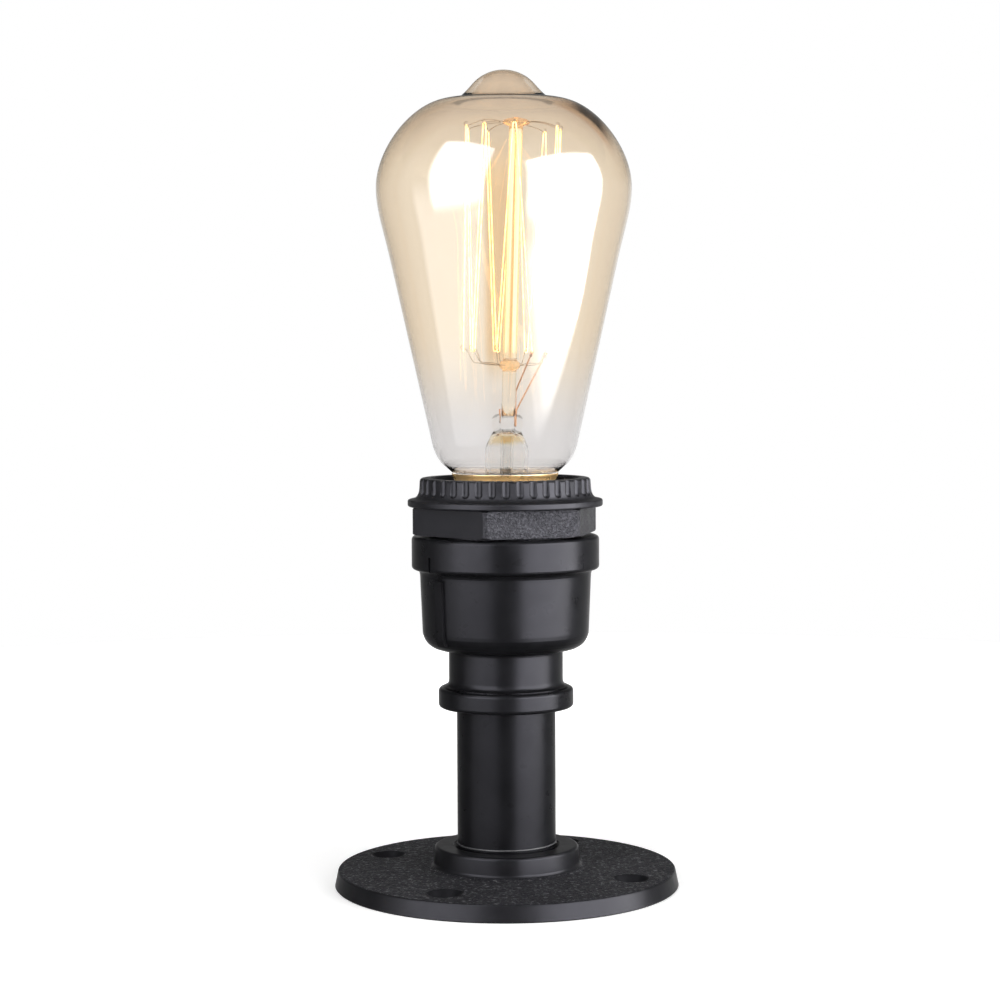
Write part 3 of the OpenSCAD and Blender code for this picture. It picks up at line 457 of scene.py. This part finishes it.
DRESS = {
    "floor_flange": "flange_iron", "pipe_nipple": "pipe_black", "reducing_coupling": "iron",
    "hex_bushing": "hex_iron", "holder_skirt": "holder_black", "holder_cap": "holder_black",
    "porcelain_insert": "porcelain", "screw_shell": "brass", "shell_rivet": "steel",
    "contact_foot": "brass", "contact_leaf": "brass", "contact_rivet": "steel",
    "terminal_blocks": "brass", "terminal_screws": "steel", "entry_nipple": "steel",
    "support_washer": "steel", "lock_nut": "steel", "earth_tag": "steel", "earth_screw": "brass",
    "live_lead": "live", "neutral_lead": "neutral", "earth_lead": "earth", "lead_ends": "copper",
    "shade_ring": "ring_black", "lamp_glass": "envelope", "lamp_cap": "gold", "cap_glass": "black_glass",
    "cap_cement": "cement", "tip_contact": "solder", "glass_stem": "stem_glass",
    "exhaust_tube": "stem_glass", "stem_rod": "rod_glass", "upper_supports": "support",
    "lower_supports": "support", "lead_in_wires": "lead_in", "filament": "filament",
}


for node_name, finish_name in DRESS.items():
    slots = NODES[node_name].data.materials
    slots.clear()
    slots.append(MATERIALS[finish_name])


# Shapes that stand for CAD nodes, in millimetres on the part's own axes
LEAN = math.radians(1.35)


def leaned(p):
    """A point of the stem and filament, which lean a little together."""
    x, y, z = p[0], p[1], p[2] - NECK_END
    sin, cos = math.sin(LEAN), math.cos(LEAN)
    return (x * cos + z * sin, y, NECK_END - x * sin + z * cos)


def around(r, degrees, z):
    """A point at a distance from the axis."""
    a = math.radians(degrees)
    return (r * math.cos(a), r * math.sin(a), z)


def circle(r, z, sides):
    return [around(r, 360 * k / sides, z) for k in range(sides)]


def clamped(value):
    """The value held between 0 and 1."""
    return min(max(value, 0.0), 1.0)


def smooth_path(points, per=6):
    """Catmull-Rom points through the given points."""
    ends = [Vector(p) for p in points]
    ends = [2 * ends[0] - ends[1]] + ends + [2 * ends[-1] - ends[-2]]
    path = []
    for i in range(1, len(ends) - 2):
        a, b, c, d = ends[i - 1:i + 3]
        for k in range(per):
            t = k / per
            path.append(0.5 * (2 * b + (c - a) * t + (2 * a - 5 * b + 4 * c - d) * t ** 2
                               + (3 * b - a - 3 * c + d) * t ** 3))
    path.append(ends[-2])
    return path


class Shape:
    """Collects the points and faces of one mesh."""

    def __init__(self):
        self.points = []
        self.faces = []

    def rings(self, rings, closed_ends=True):
        """A skin over rings of equally many points."""
        start = len(self.points)
        count = len(rings[0])
        for ring in rings:
            self.points += [tuple(p) for p in ring]
        for i in range(len(rings) - 1):
            for k in range(count):
                a = start + i * count + k
                b = start + i * count + (k + 1) % count
                self.faces.append((a, b, b + count, a + count))
        if closed_ends:
            last = start + (len(rings) - 1) * count
            self.faces.append(tuple(reversed(range(start, start + count))))
            self.faces.append(tuple(range(last, last + count)))

    def wire(self, path, radius, sides=8):
        """A round wire along a path, with rings that don't twist."""
        path = [Vector(p) for p in path]
        side = None
        rings = []
        for i, p in enumerate(path):
            head = (path[min(i + 1, len(path) - 1)] - path[max(i - 1, 0)]).normalized()
            if side is None:
                side = head.orthogonal().normalized()
            side = (side - head * side.dot(head)).normalized()
            other = head.cross(side)
            turns = [2 * math.pi * k / sides for k in range(sides)]
            rings.append([p + radius * (math.cos(a) * side + math.sin(a) * other) for a in turns])
        self.rings(rings)

    def turned(self, outline, sides=96, place=tuple):
        """A body of revolution from a closed outline of (radius, height)."""
        rows = []
        for r, z in outline:
            start = len(self.points)
            if r < 1e-6:
                self.points.append(place((0, 0, z)))
                rows.append([start] * sides)
            else:
                self.points += [place(point) for point in circle(r, z, sides)]
                rows.append(list(range(start, start + sides)))
        for low, high in zip(rows, rows[1:] + rows[:1]):
            for k in range(sides):
                n = (k + 1) % sides
                corners = tuple(dict.fromkeys((low[k], low[n], high[n], high[k])))
                if len(corners) > 2:
                    self.faces.append(corners)

    def piece(self, name, body, finish, slot, *nodes):
        """Makes the object, which stands for the given CAD nodes."""
        mesh = bpy.data.meshes.new(name)
        mesh.from_pydata([(x * MM, y * MM, z * MM) for x, y, z in self.points], [], self.faces)
        mesh.validate()
        mesh.materials.append(MATERIALS[finish])
        mesh.polygons.foreach_set("use_smooth", [True] * len(mesh.polygons))
        made = bpy.data.objects.new(name, mesh)
        scene.collection.objects.link(made)
        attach(made, body)
        if nodes:
            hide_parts(*nodes)
        return made


def curve(controls, steps):
    """Points of a Bezier curve on a plane, with any number of control points."""
    path = []
    for i in range(steps + 1):
        row = [Vector(c) for c in controls]
        while len(row) > 1:
            row = [a.lerp(b, i / steps) for a, b in zip(row, row[1:])]
        path.append(tuple(row[0]))
    return path


def arc(radius, height, a0, a1, steps):
    """Points of an arc about a centre on the axis."""
    angles = [math.radians(a0 + (a1 - a0) * i / steps) for i in range(steps + 1)]
    return [(radius * math.cos(a), height + radius * math.sin(a)) for a in angles]


def inner_wall(outline, wall):
    """The outline moved inwards by wall(height), in the opposite order."""
    moved = []
    last = len(outline) - 1
    for i, (r, z) in enumerate(outline):
        (r0, z0), (r1, z1) = outline[max(i - 1, 0)], outline[min(i + 1, last)]
        length = math.hypot(r1 - r0, z1 - z0)
        inwards = wall(z) / length
        moved.append((max(r - inwards * (z1 - z0), 0.0), z + inwards * (r1 - r0)))
    return list(reversed(moved))


# Glass envelope, from the neck inside the cap up to the pip
GLASS_WALL = 0.9
NECK_R = 11.6
MOUTH_R = 14.4
# Radii and heights on its outside. CONE's height is over the rim
CONE = (17.1, 2.6)
BULGE = (19.95, RIM + 9)
FLANK = (30.55, RIM + 56.7)
WIDE = (34.5, RIM + 77.0)
CREST = TIP - 8
# The pip's radius, the angle at which its arc starts, and how much narrower it is inside
PIP_R = 11.2
PIP_A = 41
PIP_DRAWN = 1.0


def glass_wall(z):
    """The wall thins towards the cone above the cap."""
    return GLASS_WALL * (0.6 + 0.4 * clamped((z - RIM - 2) / 8))


def pip_drawn_in(r, z):
    """The pip is narrower inside than outside, which thickens the glass at its foot."""
    if z < CREST - 2:
        return r
    near = clamped((17.5 - r) / 4)
    below = clamped((TIP - z) / 3)
    return r - PIP_DRAWN * near * below


def envelope_outline():
    """The outside of the glass, from its lower end to the tip of the pip."""
    lean = (FLANK[0] - BULGE[0]) / (FLANK[1] - BULGE[1])
    side, shoulder = arc(PIP_R, TIP - PIP_R, PIP_A, PIP_A, 1)[0]
    outer = [(NECK_R, NECK_END + 12.4 * i / 6) for i in range(6)]
    outer += curve([(NECK_R, RIM - 3.6), (NECK_R, RIM - 0.1), (MOUTH_R, RIM + 0.3)], 8)
    outer += curve([(CONE[0], RIM + CONE[1]), (18.4, RIM + 4.3), (19.35, RIM + 6), BULGE], 10)
    outer += [(BULGE[0] + lean * h, BULGE[1] + h) for h in range(6, 43, 6)]
    outer += curve([FLANK, (FLANK[0] + 9 * lean, FLANK[1] + 9), (WIDE[0], WIDE[1] - 6.1), WIDE], 14)
    crown = [WIDE, (WIDE[0], WIDE[1] + 10.9), (WIDE[0] * 0.69, CREST), (WIDE[0] * 0.44, CREST)]
    outer += curve(crown, 30)[1:]
    outer += curve([(side + 5, CREST + 0.05), (side + 3.4, CREST + 0.15), (side, shoulder)], 8)
    outer += arc(PIP_R, TIP - PIP_R, PIP_A + 4, 90, 12)
    outer[-1] = (0.0, TIP)
    return outer


def envelope():
    outer = envelope_outline()
    inner = inner_wall([(pip_drawn_in(r, z), z) for r, z in outer], glass_wall)
    inner[0] = (0.0, TIP - GLASS_WALL)
    shape = Shape()
    shape.turned(outer + inner, 144)
    return shape.piece("glass_envelope", "lamp", "envelope", "envelope", "lamp_glass")


# Filament, strung between nine upper and ten lower hooks
HOOKS = 9
CAGE_TURN = -45
END_TURN = 10
CAGE_OPENING = 25
CAGE_TOP_R = 13.1
CAGE_LOW_R = 12.3
WIRE_R = 0.17
HOOK_R = 0.42
HOOK_STEP = (360 - CAGE_OPENING) / (2 * HOOKS)


def low_angle(k):
    return CAGE_TURN + 2 * k * HOOK_STEP


def top_angle(k):
    return CAGE_TURN + (2 * k + 1) * HOOK_STEP


def hook(r, degrees, z, up, steps=8):
    """The filament's round turn over a hook, entered from the side of the smaller angle."""
    turn = []
    for i in range(steps + 1):
        a = math.pi * i / steps
        sideways = math.degrees(-HOOK_R * math.cos(a) / r)
        turn.append(around(r, degrees + sideways, z + up * HOOK_R * (math.sin(a) - 1)))
    return turn


def filament():
    path = [around(CAGE_LOW_R, low_angle(0) + END_TURN, LOW_HOOK)]
    for k in range(HOOKS):
        path += hook(CAGE_TOP_R, top_angle(k), TOP_HOOK, 1)
        if k < HOOKS - 1:
            path += hook(CAGE_LOW_R, low_angle(k + 1), LOW_HOOK, -1)
    path.append(around(CAGE_LOW_R, low_angle(HOOKS) + END_TURN, LOW_HOOK))
    shape = Shape()
    shape.wire([leaned(p) for p in path], WIRE_R, 10)
    return shape.piece("filament_wire", "lamp", "filament", "filament", "filament")


# Support wires, which pass inside each turn of the filament and curl back over it
SUPPORT_R = 0.10


def support_wires(name, spans, node):
    """One wire for each span, which is an angle and a route of (radius, height)."""
    shape = Shape()
    for degrees, route in spans:
        path = smooth_path([leaned(around(r, degrees, z)) for r, z in route])
        shape.wire(path, SUPPORT_R)
    return shape.piece(name, "lamp", "support", "support_wire", node)


def upper_supports():
    under = TOP_HOOK - WIRE_R - SUPPORT_R
    r = CAGE_TOP_R
    spans = []
    for k in range(HOOKS):
        sag = 0.35 * math.sin(2.4 * k)
        spans.append((top_angle(k), [
            (3.5, TOP_BEAD - 0.1), (5.5, TOP_BEAD + 0.1 + sag), (9.0, TOP_BEAD - 0.3 + sag),
            (r - 1.2, under + 0.5), (r - 0.3, under), (r + 0.35, under + 0.1), (r + 0.6, under + 0.6),
            (r + 0.3, under + 1.1), (r - 0.3, under + 1.05)]))
    return support_wires("upper_support_wires", spans, "upper_supports")


def lower_supports():
    over = LOW_HOOK + WIRE_R + SUPPORT_R
    r = CAGE_LOW_R
    spans = []
    for k in range(1, HOOKS):
        lift = 0.3 * math.sin(2.1 * k)
        spans.append((low_angle(k), [
            (2.9, LOW_BEAD), (5.0, LOW_BEAD + 0.25 + lift), (8.6, LOW_BEAD + 0.45 + lift),
            (9.7, LOW_BEAD + 0.9 + lift), (10.7, over - 1.2), (r - 0.7, over + 0.25), (r, over),
            (r + 0.55, over + 0.15), (r + 0.75, over + 0.7), (r + 0.4, over + 1.2), (r - 0.2, over + 1.15)]))
    return support_wires("lower_support_wires", spans, "lower_supports")


# Lead-in wires, from the press to the filament's two ends
LEAD_IN_R = 0.22
CRIMP_R = 0.42
STUB_R = 0.2


def lead_in_wires():
    """Two wires with crimps at the filament's ends, and a short stub that ends above the press."""
    shape = Shape()
    ends = ((2.35, -0.7, RIM + 17.2, low_angle(0)), (2.1, 0.7, RIM + 22.3, low_angle(HOOKS)))
    for x, y, bend, degrees in ends:
        top = Vector(around(CAGE_LOW_R, degrees + END_TURN, LOW_HOOK))
        corner = Vector((x, y, bend))
        path = [Vector((x, y, z)) for z in (PRESS + 1.6, bend - 2.0, bend - 0.6)]
        path += [corner + (top - corner) * share for share in (0.03, 0.3, 0.7, 1.0)]
        shape.wire([leaned(p) for p in smooth_path(path)], LEAD_IN_R)
        crimp = [top + (corner - top).normalized() * 1.6, top + Vector((0, 0, 0.1))]
        shape.wire([leaned(p) for p in crimp], CRIMP_R)
    stub = [(-2.1, 0.2, PRESS + 2.4), (-2.15, 0.2, PRESS + 6.2)]
    shape.wire([leaned(p) for p in stub], STUB_R)
    return shape.piece("lead_in_pair", "lamp", "lead_in", "copper", "lead_in_wires")


# Glass rod with a fused bead under each ring of supports
ROD_R = 1.9


def bead(z, r, height, steps=14):
    """The part of an ellipse that stands out from the rod."""
    end = math.acos(ROD_R / r)
    angles = [end * (2 * i / steps - 1) for i in range(steps + 1)]
    return [(r * math.cos(a), z + height / 2 * math.sin(a)) for a in angles]


def rod_leaned(p):
    """The rod leans a little more than the cage about it."""
    x, y, z = leaned(p)
    return (x + 0.3 + 0.5 * (p[2] - LOW_BEAD) / (TOP_BEAD - LOW_BEAD), y, z)


def stem_rod():
    outline = [(0.0, PRESS_TOP), (ROD_R, PRESS_TOP)]
    outline += [(ROD_R, PRESS_TOP + (LOW_BEAD - PRESS_TOP - 2) * i / 3) for i in (1, 2, 3)]
    outline += bead(LOW_BEAD, 2.9, 3.5)
    outline += [(ROD_R, LOW_BEAD + 2 + (TOP_BEAD - LOW_BEAD - 4) * i / 8) for i in range(9)]
    outline += bead(TOP_BEAD, 3.7, 2.5)
    outline += [(ROD_R - 0.5, TOP_BEAD + 1.3), (ROD_R - 1.2, TOP_BEAD + 1.4), (0.0, TOP_BEAD + 1.45)]
    shape = Shape()
    shape.turned(outline, 48, rod_leaned)
    return shape.piece("rod_and_beads", "lamp", "rod_glass", "clear_glass", "stem_rod")


# Screw threads of the lamp cap and the holder's shell, which share one helix
PITCH_MM = 3.629
THREAD_DEPTH = 0.95
THREAD_SIDES = 120
THREAD_STEPS = 110
CAP_R = 13.1
CAP_WALL = 0.35
SHELL_R = CAP_R + 0.33
SHELL_HOLE_R = 11.4
SHELL_WALL = 0.4


def thread_r(degrees, z, crest, fade):
    """The thread's radius, from its crest down to its root."""
    wave = 0.5 + 0.5 * math.cos(2 * math.pi * (z - RIM) / PITCH_MM - math.radians(degrees))
    return crest - THREAD_DEPTH * fade * (1 - wave ** 0.8)


def fade_between(z, low, high, run=1.6):
    """0 outside low and high, and 1 well inside them."""
    value = clamped(min((z - low) / run, (high - z) / run))
    return value * value * (3 - 2 * value)


def threaded_rings(crest, low, high, fade_low, fade_high):
    """Rings from low to high, with a thread that fades out at fade_low and fade_high."""
    rings = []
    for i in range(THREAD_STEPS + 1):
        z = low + (high - low) * i / THREAD_STEPS
        fade = fade_between(z, fade_low, fade_high)
        angles = [360 * k / THREAD_SIDES for k in range(THREAD_SIDES)]
        rings.append([around(thread_r(a, z, crest, fade), a, z) for a in angles])
    return rings


def widened(ring, by):
    """The ring with its points moved away from the axis."""
    moved = []
    for x, y, z in ring:
        grown = 1 + by / math.hypot(x, y)
        moved.append((x * grown, y * grown, z))
    return moved


def lamp_cap():
    low = node_z("lamp_cap", 0)
    thread_low, thread_high = low + 2.5, RIM - 4.2
    foot = [(4.0, 0.0), (3.2, 0.35), (1.2, 1.6), (0.7, 2.3)]
    flare = [(0.15, 3.8), (0.45, 3.3), (0.5, 2.2), (0.75, 1.5), (1.25, 0.5), (1.4, 0.12), (1.4, 0.0)]
    rings = [circle(CAP_R - inward, low + up, THREAD_SIDES) for inward, up in foot]
    rings += threaded_rings(CAP_R, thread_low, thread_high, thread_low, thread_high)
    rings += [circle(CAP_R + outward, RIM - down, THREAD_SIDES) for outward, down in flare]
    lining = [widened(ring, -CAP_WALL) for ring in reversed(rings)]
    shape = Shape()
    shape.rings(rings + lining + rings[:1], closed_ends=False)
    return shape.piece("threaded_cap", "lamp", "gold", "cap_gold", "lamp_cap")


def screw_shell():
    low, high = node_z("screw_shell", 0), node_z("screw_shell", 1)
    floor_z = low + SHELL_WALL
    inside = threaded_rings(SHELL_R, floor_z, high, low + 1.5, high + 1.0)
    outside = [widened(ring, SHELL_WALL) for ring in inside]
    hole_low = circle(SHELL_HOLE_R, low, THREAD_SIDES)
    hole_high = circle(SHELL_HOLE_R, floor_z, THREAD_SIDES)
    foot = circle(SHELL_R + SHELL_WALL, low, THREAD_SIDES)
    shape = Shape()
    shape.rings([hole_low, foot] + outside + inside[::-1] + [hole_high, hole_low], closed_ends=False)
    return shape.piece("threaded_shell", "stand", "brass", "brass", "screw_shell")


# Glass stem: a flared tube that is pinched flat round the rod and the lead-in wires
def press_ring(rx, ry, z, pinch=0.0, sides=64):
    """A ring that is round at pinch 0 and, at pinch 1, a slab with a groove on each side of the rod."""
    ring = []
    power = 1 - 0.35 * pinch
    for k in range(sides):
        a = 2 * math.pi * k / sides
        across, along = math.cos(a), math.sin(a)
        x = rx * math.copysign(abs(across) ** power, across)
        groove = 1 - 0.5 * pinch * math.exp(-((abs(x) - 0.42 * rx) / (0.2 * rx)) ** 2)
        ring.append(leaned((x, ry * math.copysign(abs(along) ** power, along) * groove, z)))
    return ring


def glass_stem():
    """Its rows give half width, half depth, height and pinch."""
    low = NECK_END
    r = 5.9
    outer = [
        (10.35, 10.35, low, 0), (8.6, 8.6, low + 0.25, 0), (7.2, 7.2, low + 1.0, 0),
        (6.3, 6.3, low + 2.6, 0), (r, r, low + 5.5, 0), (r, r, PRESS - 8, 0),
        (r, r, PRESS - 4.8, 0), (5.77, 5.6, PRESS - 3.8, 0),
        (5.5, 5.0, PRESS - 3.1, 0.05), (5.12, 4.2, PRESS - 2.3, 0.15), (4.7, 3.4, PRESS - 1.4, 0.3),
        (4.25, 2.7, PRESS - 0.5, 0.55), (3.85, 2.25, PRESS + 0.1, 0.75), (3.75, 2.05, PRESS + 0.6, 0.9),
        (4.0, 1.95, PRESS + 1.2, 1), (4.2, 1.9, PRESS + 1.9, 1), (4.27, 1.85, PRESS + 2.7, 1),
        (4.22, 1.8, PRESS + 3.4, 1), (4.05, 1.7, PRESS + 4.0, 1), (3.7, 1.5, PRESS + 4.45, 1),
        (3.2, 1.2, PRESS + 4.75, 1), (2.4, 0.8, PRESS + 4.88, 1)]
    inner = [
        (9.35, 9.35, low, 0), (7.9, 7.9, low + 0.95, 0), (6.4, 6.4, low + 1.8, 0), (5.4, 5.4, low + 3.4, 0),
        (r - 1, r - 1, low + 6, 0), (r - 1, r - 1, PRESS - 8, 0), (r - 1, r - 1, PRESS - 5, 0),
        (4.8, 4.6, PRESS - 3.9, 0), (4.5, 4.0, PRESS - 3.0, 0), (4.1, 3.2, PRESS - 2.1, 0.1),
        (3.6, 2.2, PRESS - 1.2, 0.3), (2.8, 1.2, PRESS - 0.5, 0.3), (1.4, 0.5, PRESS - 0.1, 0)]
    shape = Shape()
    shape.rings([press_ring(*row) for row in inner[::-1] + outer])
    return shape.piece("stem_and_press", "lamp", "stem_glass", "clear_glass", "glass_stem")


# Last turn of the pipe's thread, left bare above the hub
PIPE_THREAD_R = 13.42
PIPE_THREAD_START = 0.15
PIPE_THREAD_RISE = 0.75
RIDGE_R = 0.28


def pipe_thread(steps=90):
    start = node_z("floor_flange", 1) + PIPE_THREAD_START
    turns = [k / steps for k in range(steps + 1)]
    path = [around(PIPE_THREAD_R, 360 * turn, start + PIPE_THREAD_RISE * turn) for turn in turns]
    shape = Shape()
    shape.wire(path, RIDGE_R)
    return shape.piece("last_thread", "stand", "thread_grey", "pipe_black")


envelope()
filament()
upper_supports()
lower_supports()
lead_in_wires()
stem_rod()
lamp_cap()
screw_shell()
glass_stem()
pipe_thread()


# Stage and light
def stage_mesh(name, points, faces, finish):
    """A mesh of the studio, which isn't part of the object."""
    mesh = bpy.data.meshes.new(name)
    mesh.from_pydata(points, [], faces)
    mesh.materials.append(finish)
    made = bpy.data.objects.new(name, mesh)
    scene.collection.objects.link(made)
    return made


FLOOR_R = 0.60
FLOOR_SIDES = 160


def floor():
    """Pale floor that fades to the white background away from the lamp and keeps its shadow."""
    made, t, out = material("floor_white")
    sheen = t.ranged(t.noise(25.0, 2.0), *ROUGH_NOISE, 0.55, 0.65)
    seen = t.add("ShaderNodeLightPath").outputs["Is Camera Ray"]
    reach = t.vector("LENGTH", t.place())["Value"]
    power = t.product(seen, t.ranged(reach, 0.08, 0.45, 0.35, 1.0))
    surface(t, out, {"Base Color": grey(0.86), "Roughness": sheen, "Specular IOR Level": 0.2,
                     "Emission Color": grey(1.0), "Emission Strength": power})
    edge = circle(FLOOR_R, 0, FLOOR_SIDES)
    disc = stage_mesh("floor", edge, [tuple(range(FLOOR_SIDES))], made)
    disc.visible_glossy = False


def card_light(name, profile, strength, soft, cut):
    """A card's material, which adds its light to what lies behind the card."""
    made, t, out = material(name)
    right, up = t.xyz(t.add("ShaderNodeTexCoord").outputs["UV"])[:2]
    low, high = profile[0][0], profile[-1][0]
    ramp = t.add("ShaderNodeValToRGB", {0: up})
    ramp.color_ramp.interpolation = "EASE"
    for _ in profile[2:]:
        ramp.color_ramp.elements.new(0.5)
    for element, (z, share) in zip(ramp.color_ramp.elements, profile):
        element.position = (z - low) / (high - low)
        element.color = grey(share)
    sides = t.product(t.ranged(right, 0.0, soft), t.fade_out(right, 1.0 - soft, 1.0))
    power = t.product(ramp.outputs["Color"], strength, sides)
    if cut is not None:
        start, end = ((z - low) / (high - low) for z in cut)
        above = t.math("SUBTRACT", up, t.math("MULTIPLY_ADD", right, end - start, start))
        power = t.product(power, t.ranged(above, 0.0, 0.03))
    light = t.add("ShaderNodeEmission", {"Color": grey(1.0), "Strength": power})
    behind = t.add("ShaderNodeBsdfTransparent")
    both = t.add("ShaderNodeAddShader", {0: light.outputs[0], 1: behind.outputs[0]})
    t.link(both.outputs[0], out.inputs["Surface"])
    return made


def card(name, azimuth, distance, half_width, profile, strength, soft, cut=None, top=(-1, 1)):
    """A softbox's face, seen in reflections only. Azimuth is to the right of the camera's direction.

    profile gives heights and the share of the strength at each. soft is the share of the width over which
    each side fades. cut gives the heights at which a slanted lower edge meets the left and right sides.
    top gives the ends of its upper edge in half widths.
    """
    a = math.radians(azimuth)
    middle = Vector((math.sin(a), -math.cos(a), 0)) * distance
    across = Vector((math.cos(a), math.sin(a), 0)) * half_width
    low, high = profile[0][0], profile[-1][0]
    ends = ((-1, low), (1, low), (top[1], high), (top[0], high))
    corners = [tuple(middle + across * side + Vector((0, 0, z))) for side, z in ends]
    face = stage_mesh(name, corners, [(0, 1, 2, 3)], card_light(name, profile, strength, soft, cut))
    layer = face.data.uv_layers.new(name="UVMap")
    for loop, value in zip(layer.data, ((0, 0), (1, 0), (1, 1), (0, 1))):
        loop.uv = value
    for kind in ("camera", "diffuse", "transmission", "shadow"):
        setattr(face, "visible_" + kind, False)


floor()
card("card_left", -43.4, 0.60, 0.30, ((-0.03, 0), (0.06, 1), (0.90, 1), (0.98, 0)),
     strength=14.0, soft=0.10, top=(-1.22, 1.45))
card("card_left_low", -52.5, 0.62, 0.49, ((-0.24, 0), (-0.13, 0.42), (-0.08, 1), (0.0, 1), (0.30, 0)),
     strength=3.8, soft=0.14)
card("card_right", 58, 0.60, 0.505,
     ((-0.26, 0), (-0.21, 0.035), (-0.155, 0.065), (-0.13, 0.2), (-0.09, 0.6), (-0.04, 1), (0.58, 1),
      (0.66, 0)), strength=24.0, soft=0.10, cut=(-0.235, -0.04))


LIT_POINT = Vector((0, 0, 0.11))


def area_light(name, azimuth, elevation, distance, size, level):
    """A soft area light. Level 1 shows a white surface facing it as white."""
    data = bpy.data.lights.new(name, "AREA")
    data.shape = "DISK"
    data.size = size
    data.energy = level * math.pi ** 2 * distance ** 2
    made = bpy.data.objects.new(name, data)
    a, e = math.radians(azimuth), math.radians(elevation)
    toward = Vector((math.sin(a) * math.cos(e), -math.cos(a) * math.cos(e), math.sin(e)))
    made.location = LIT_POINT + toward * distance
    made.rotation_euler = toward.to_track_quat("Z", "Y").to_euler()
    for kind in ("camera", "glossy", "transmission"):
        setattr(made, "visible_" + kind, False)
    scene.collection.objects.link(made)


area_light("key", 58, 22, 0.9, 0.8, 0.55)
area_light("fill", -45, 30, 0.9, 0.8, 0.30)
area_light("top", 0, 82, 0.9, 0.9, 0.35)

WORLD_LIGHT = 0.35


def studio_world():
    """White to the camera and through the glass, darker in reflections, and faint as a light."""
    world = bpy.data.worlds.new("studio")
    scene.world = world
    world.use_nodes = True
    t = Tree(world.node_tree)
    rays = t.add("ShaderNodeLightPath").outputs
    right, back, up = t.xyz(t.add("ShaderNodeTexCoord").outputs["Generated"])
    behind = t.math("ADD", t.ranged(back, -0.2, 0.9, 0.02, 0.6), t.ranged(back, 0.86, 0.97, 0.0, 0.4))
    behind = t.product(behind, t.ranged(right, -0.5, 0.1, 0.5, 1.0), t.ranged(up, 0.02, 0.2, 1.0, 0.25))
    above = t.ranged(up, 0.6, 0.9, 0.0, 0.5)
    mirrored = t.product(rays["Is Glossy Ray"], t.math("MAXIMUM", behind, above))
    raised = t.math("ADD", back, t.product(t.math("MAXIMUM", up, 0.0), 0.6))
    through = t.product(rays["Is Transmission Ray"], t.ranged(raised, 0.35, 0.8, 0.75, 1.0))
    seen = t.math("MAXIMUM", rays["Is Camera Ray"], through)
    plain_ray = t.math("SUBTRACT", 1.0, t.math("MAXIMUM", seen, rays["Is Glossy Ray"]))
    strength = t.math("ADD", t.math("MAXIMUM", seen, mirrored), t.product(plain_ray, WORLD_LIGHT))
    sky = t.add("ShaderNodeBackground", {"Color": grey(1.0), "Strength": strength})
    t.add("ShaderNodeOutputWorld", {"Surface": sky.outputs[0]})


studio_world()
scene.view_settings.view_transform = "Standard"
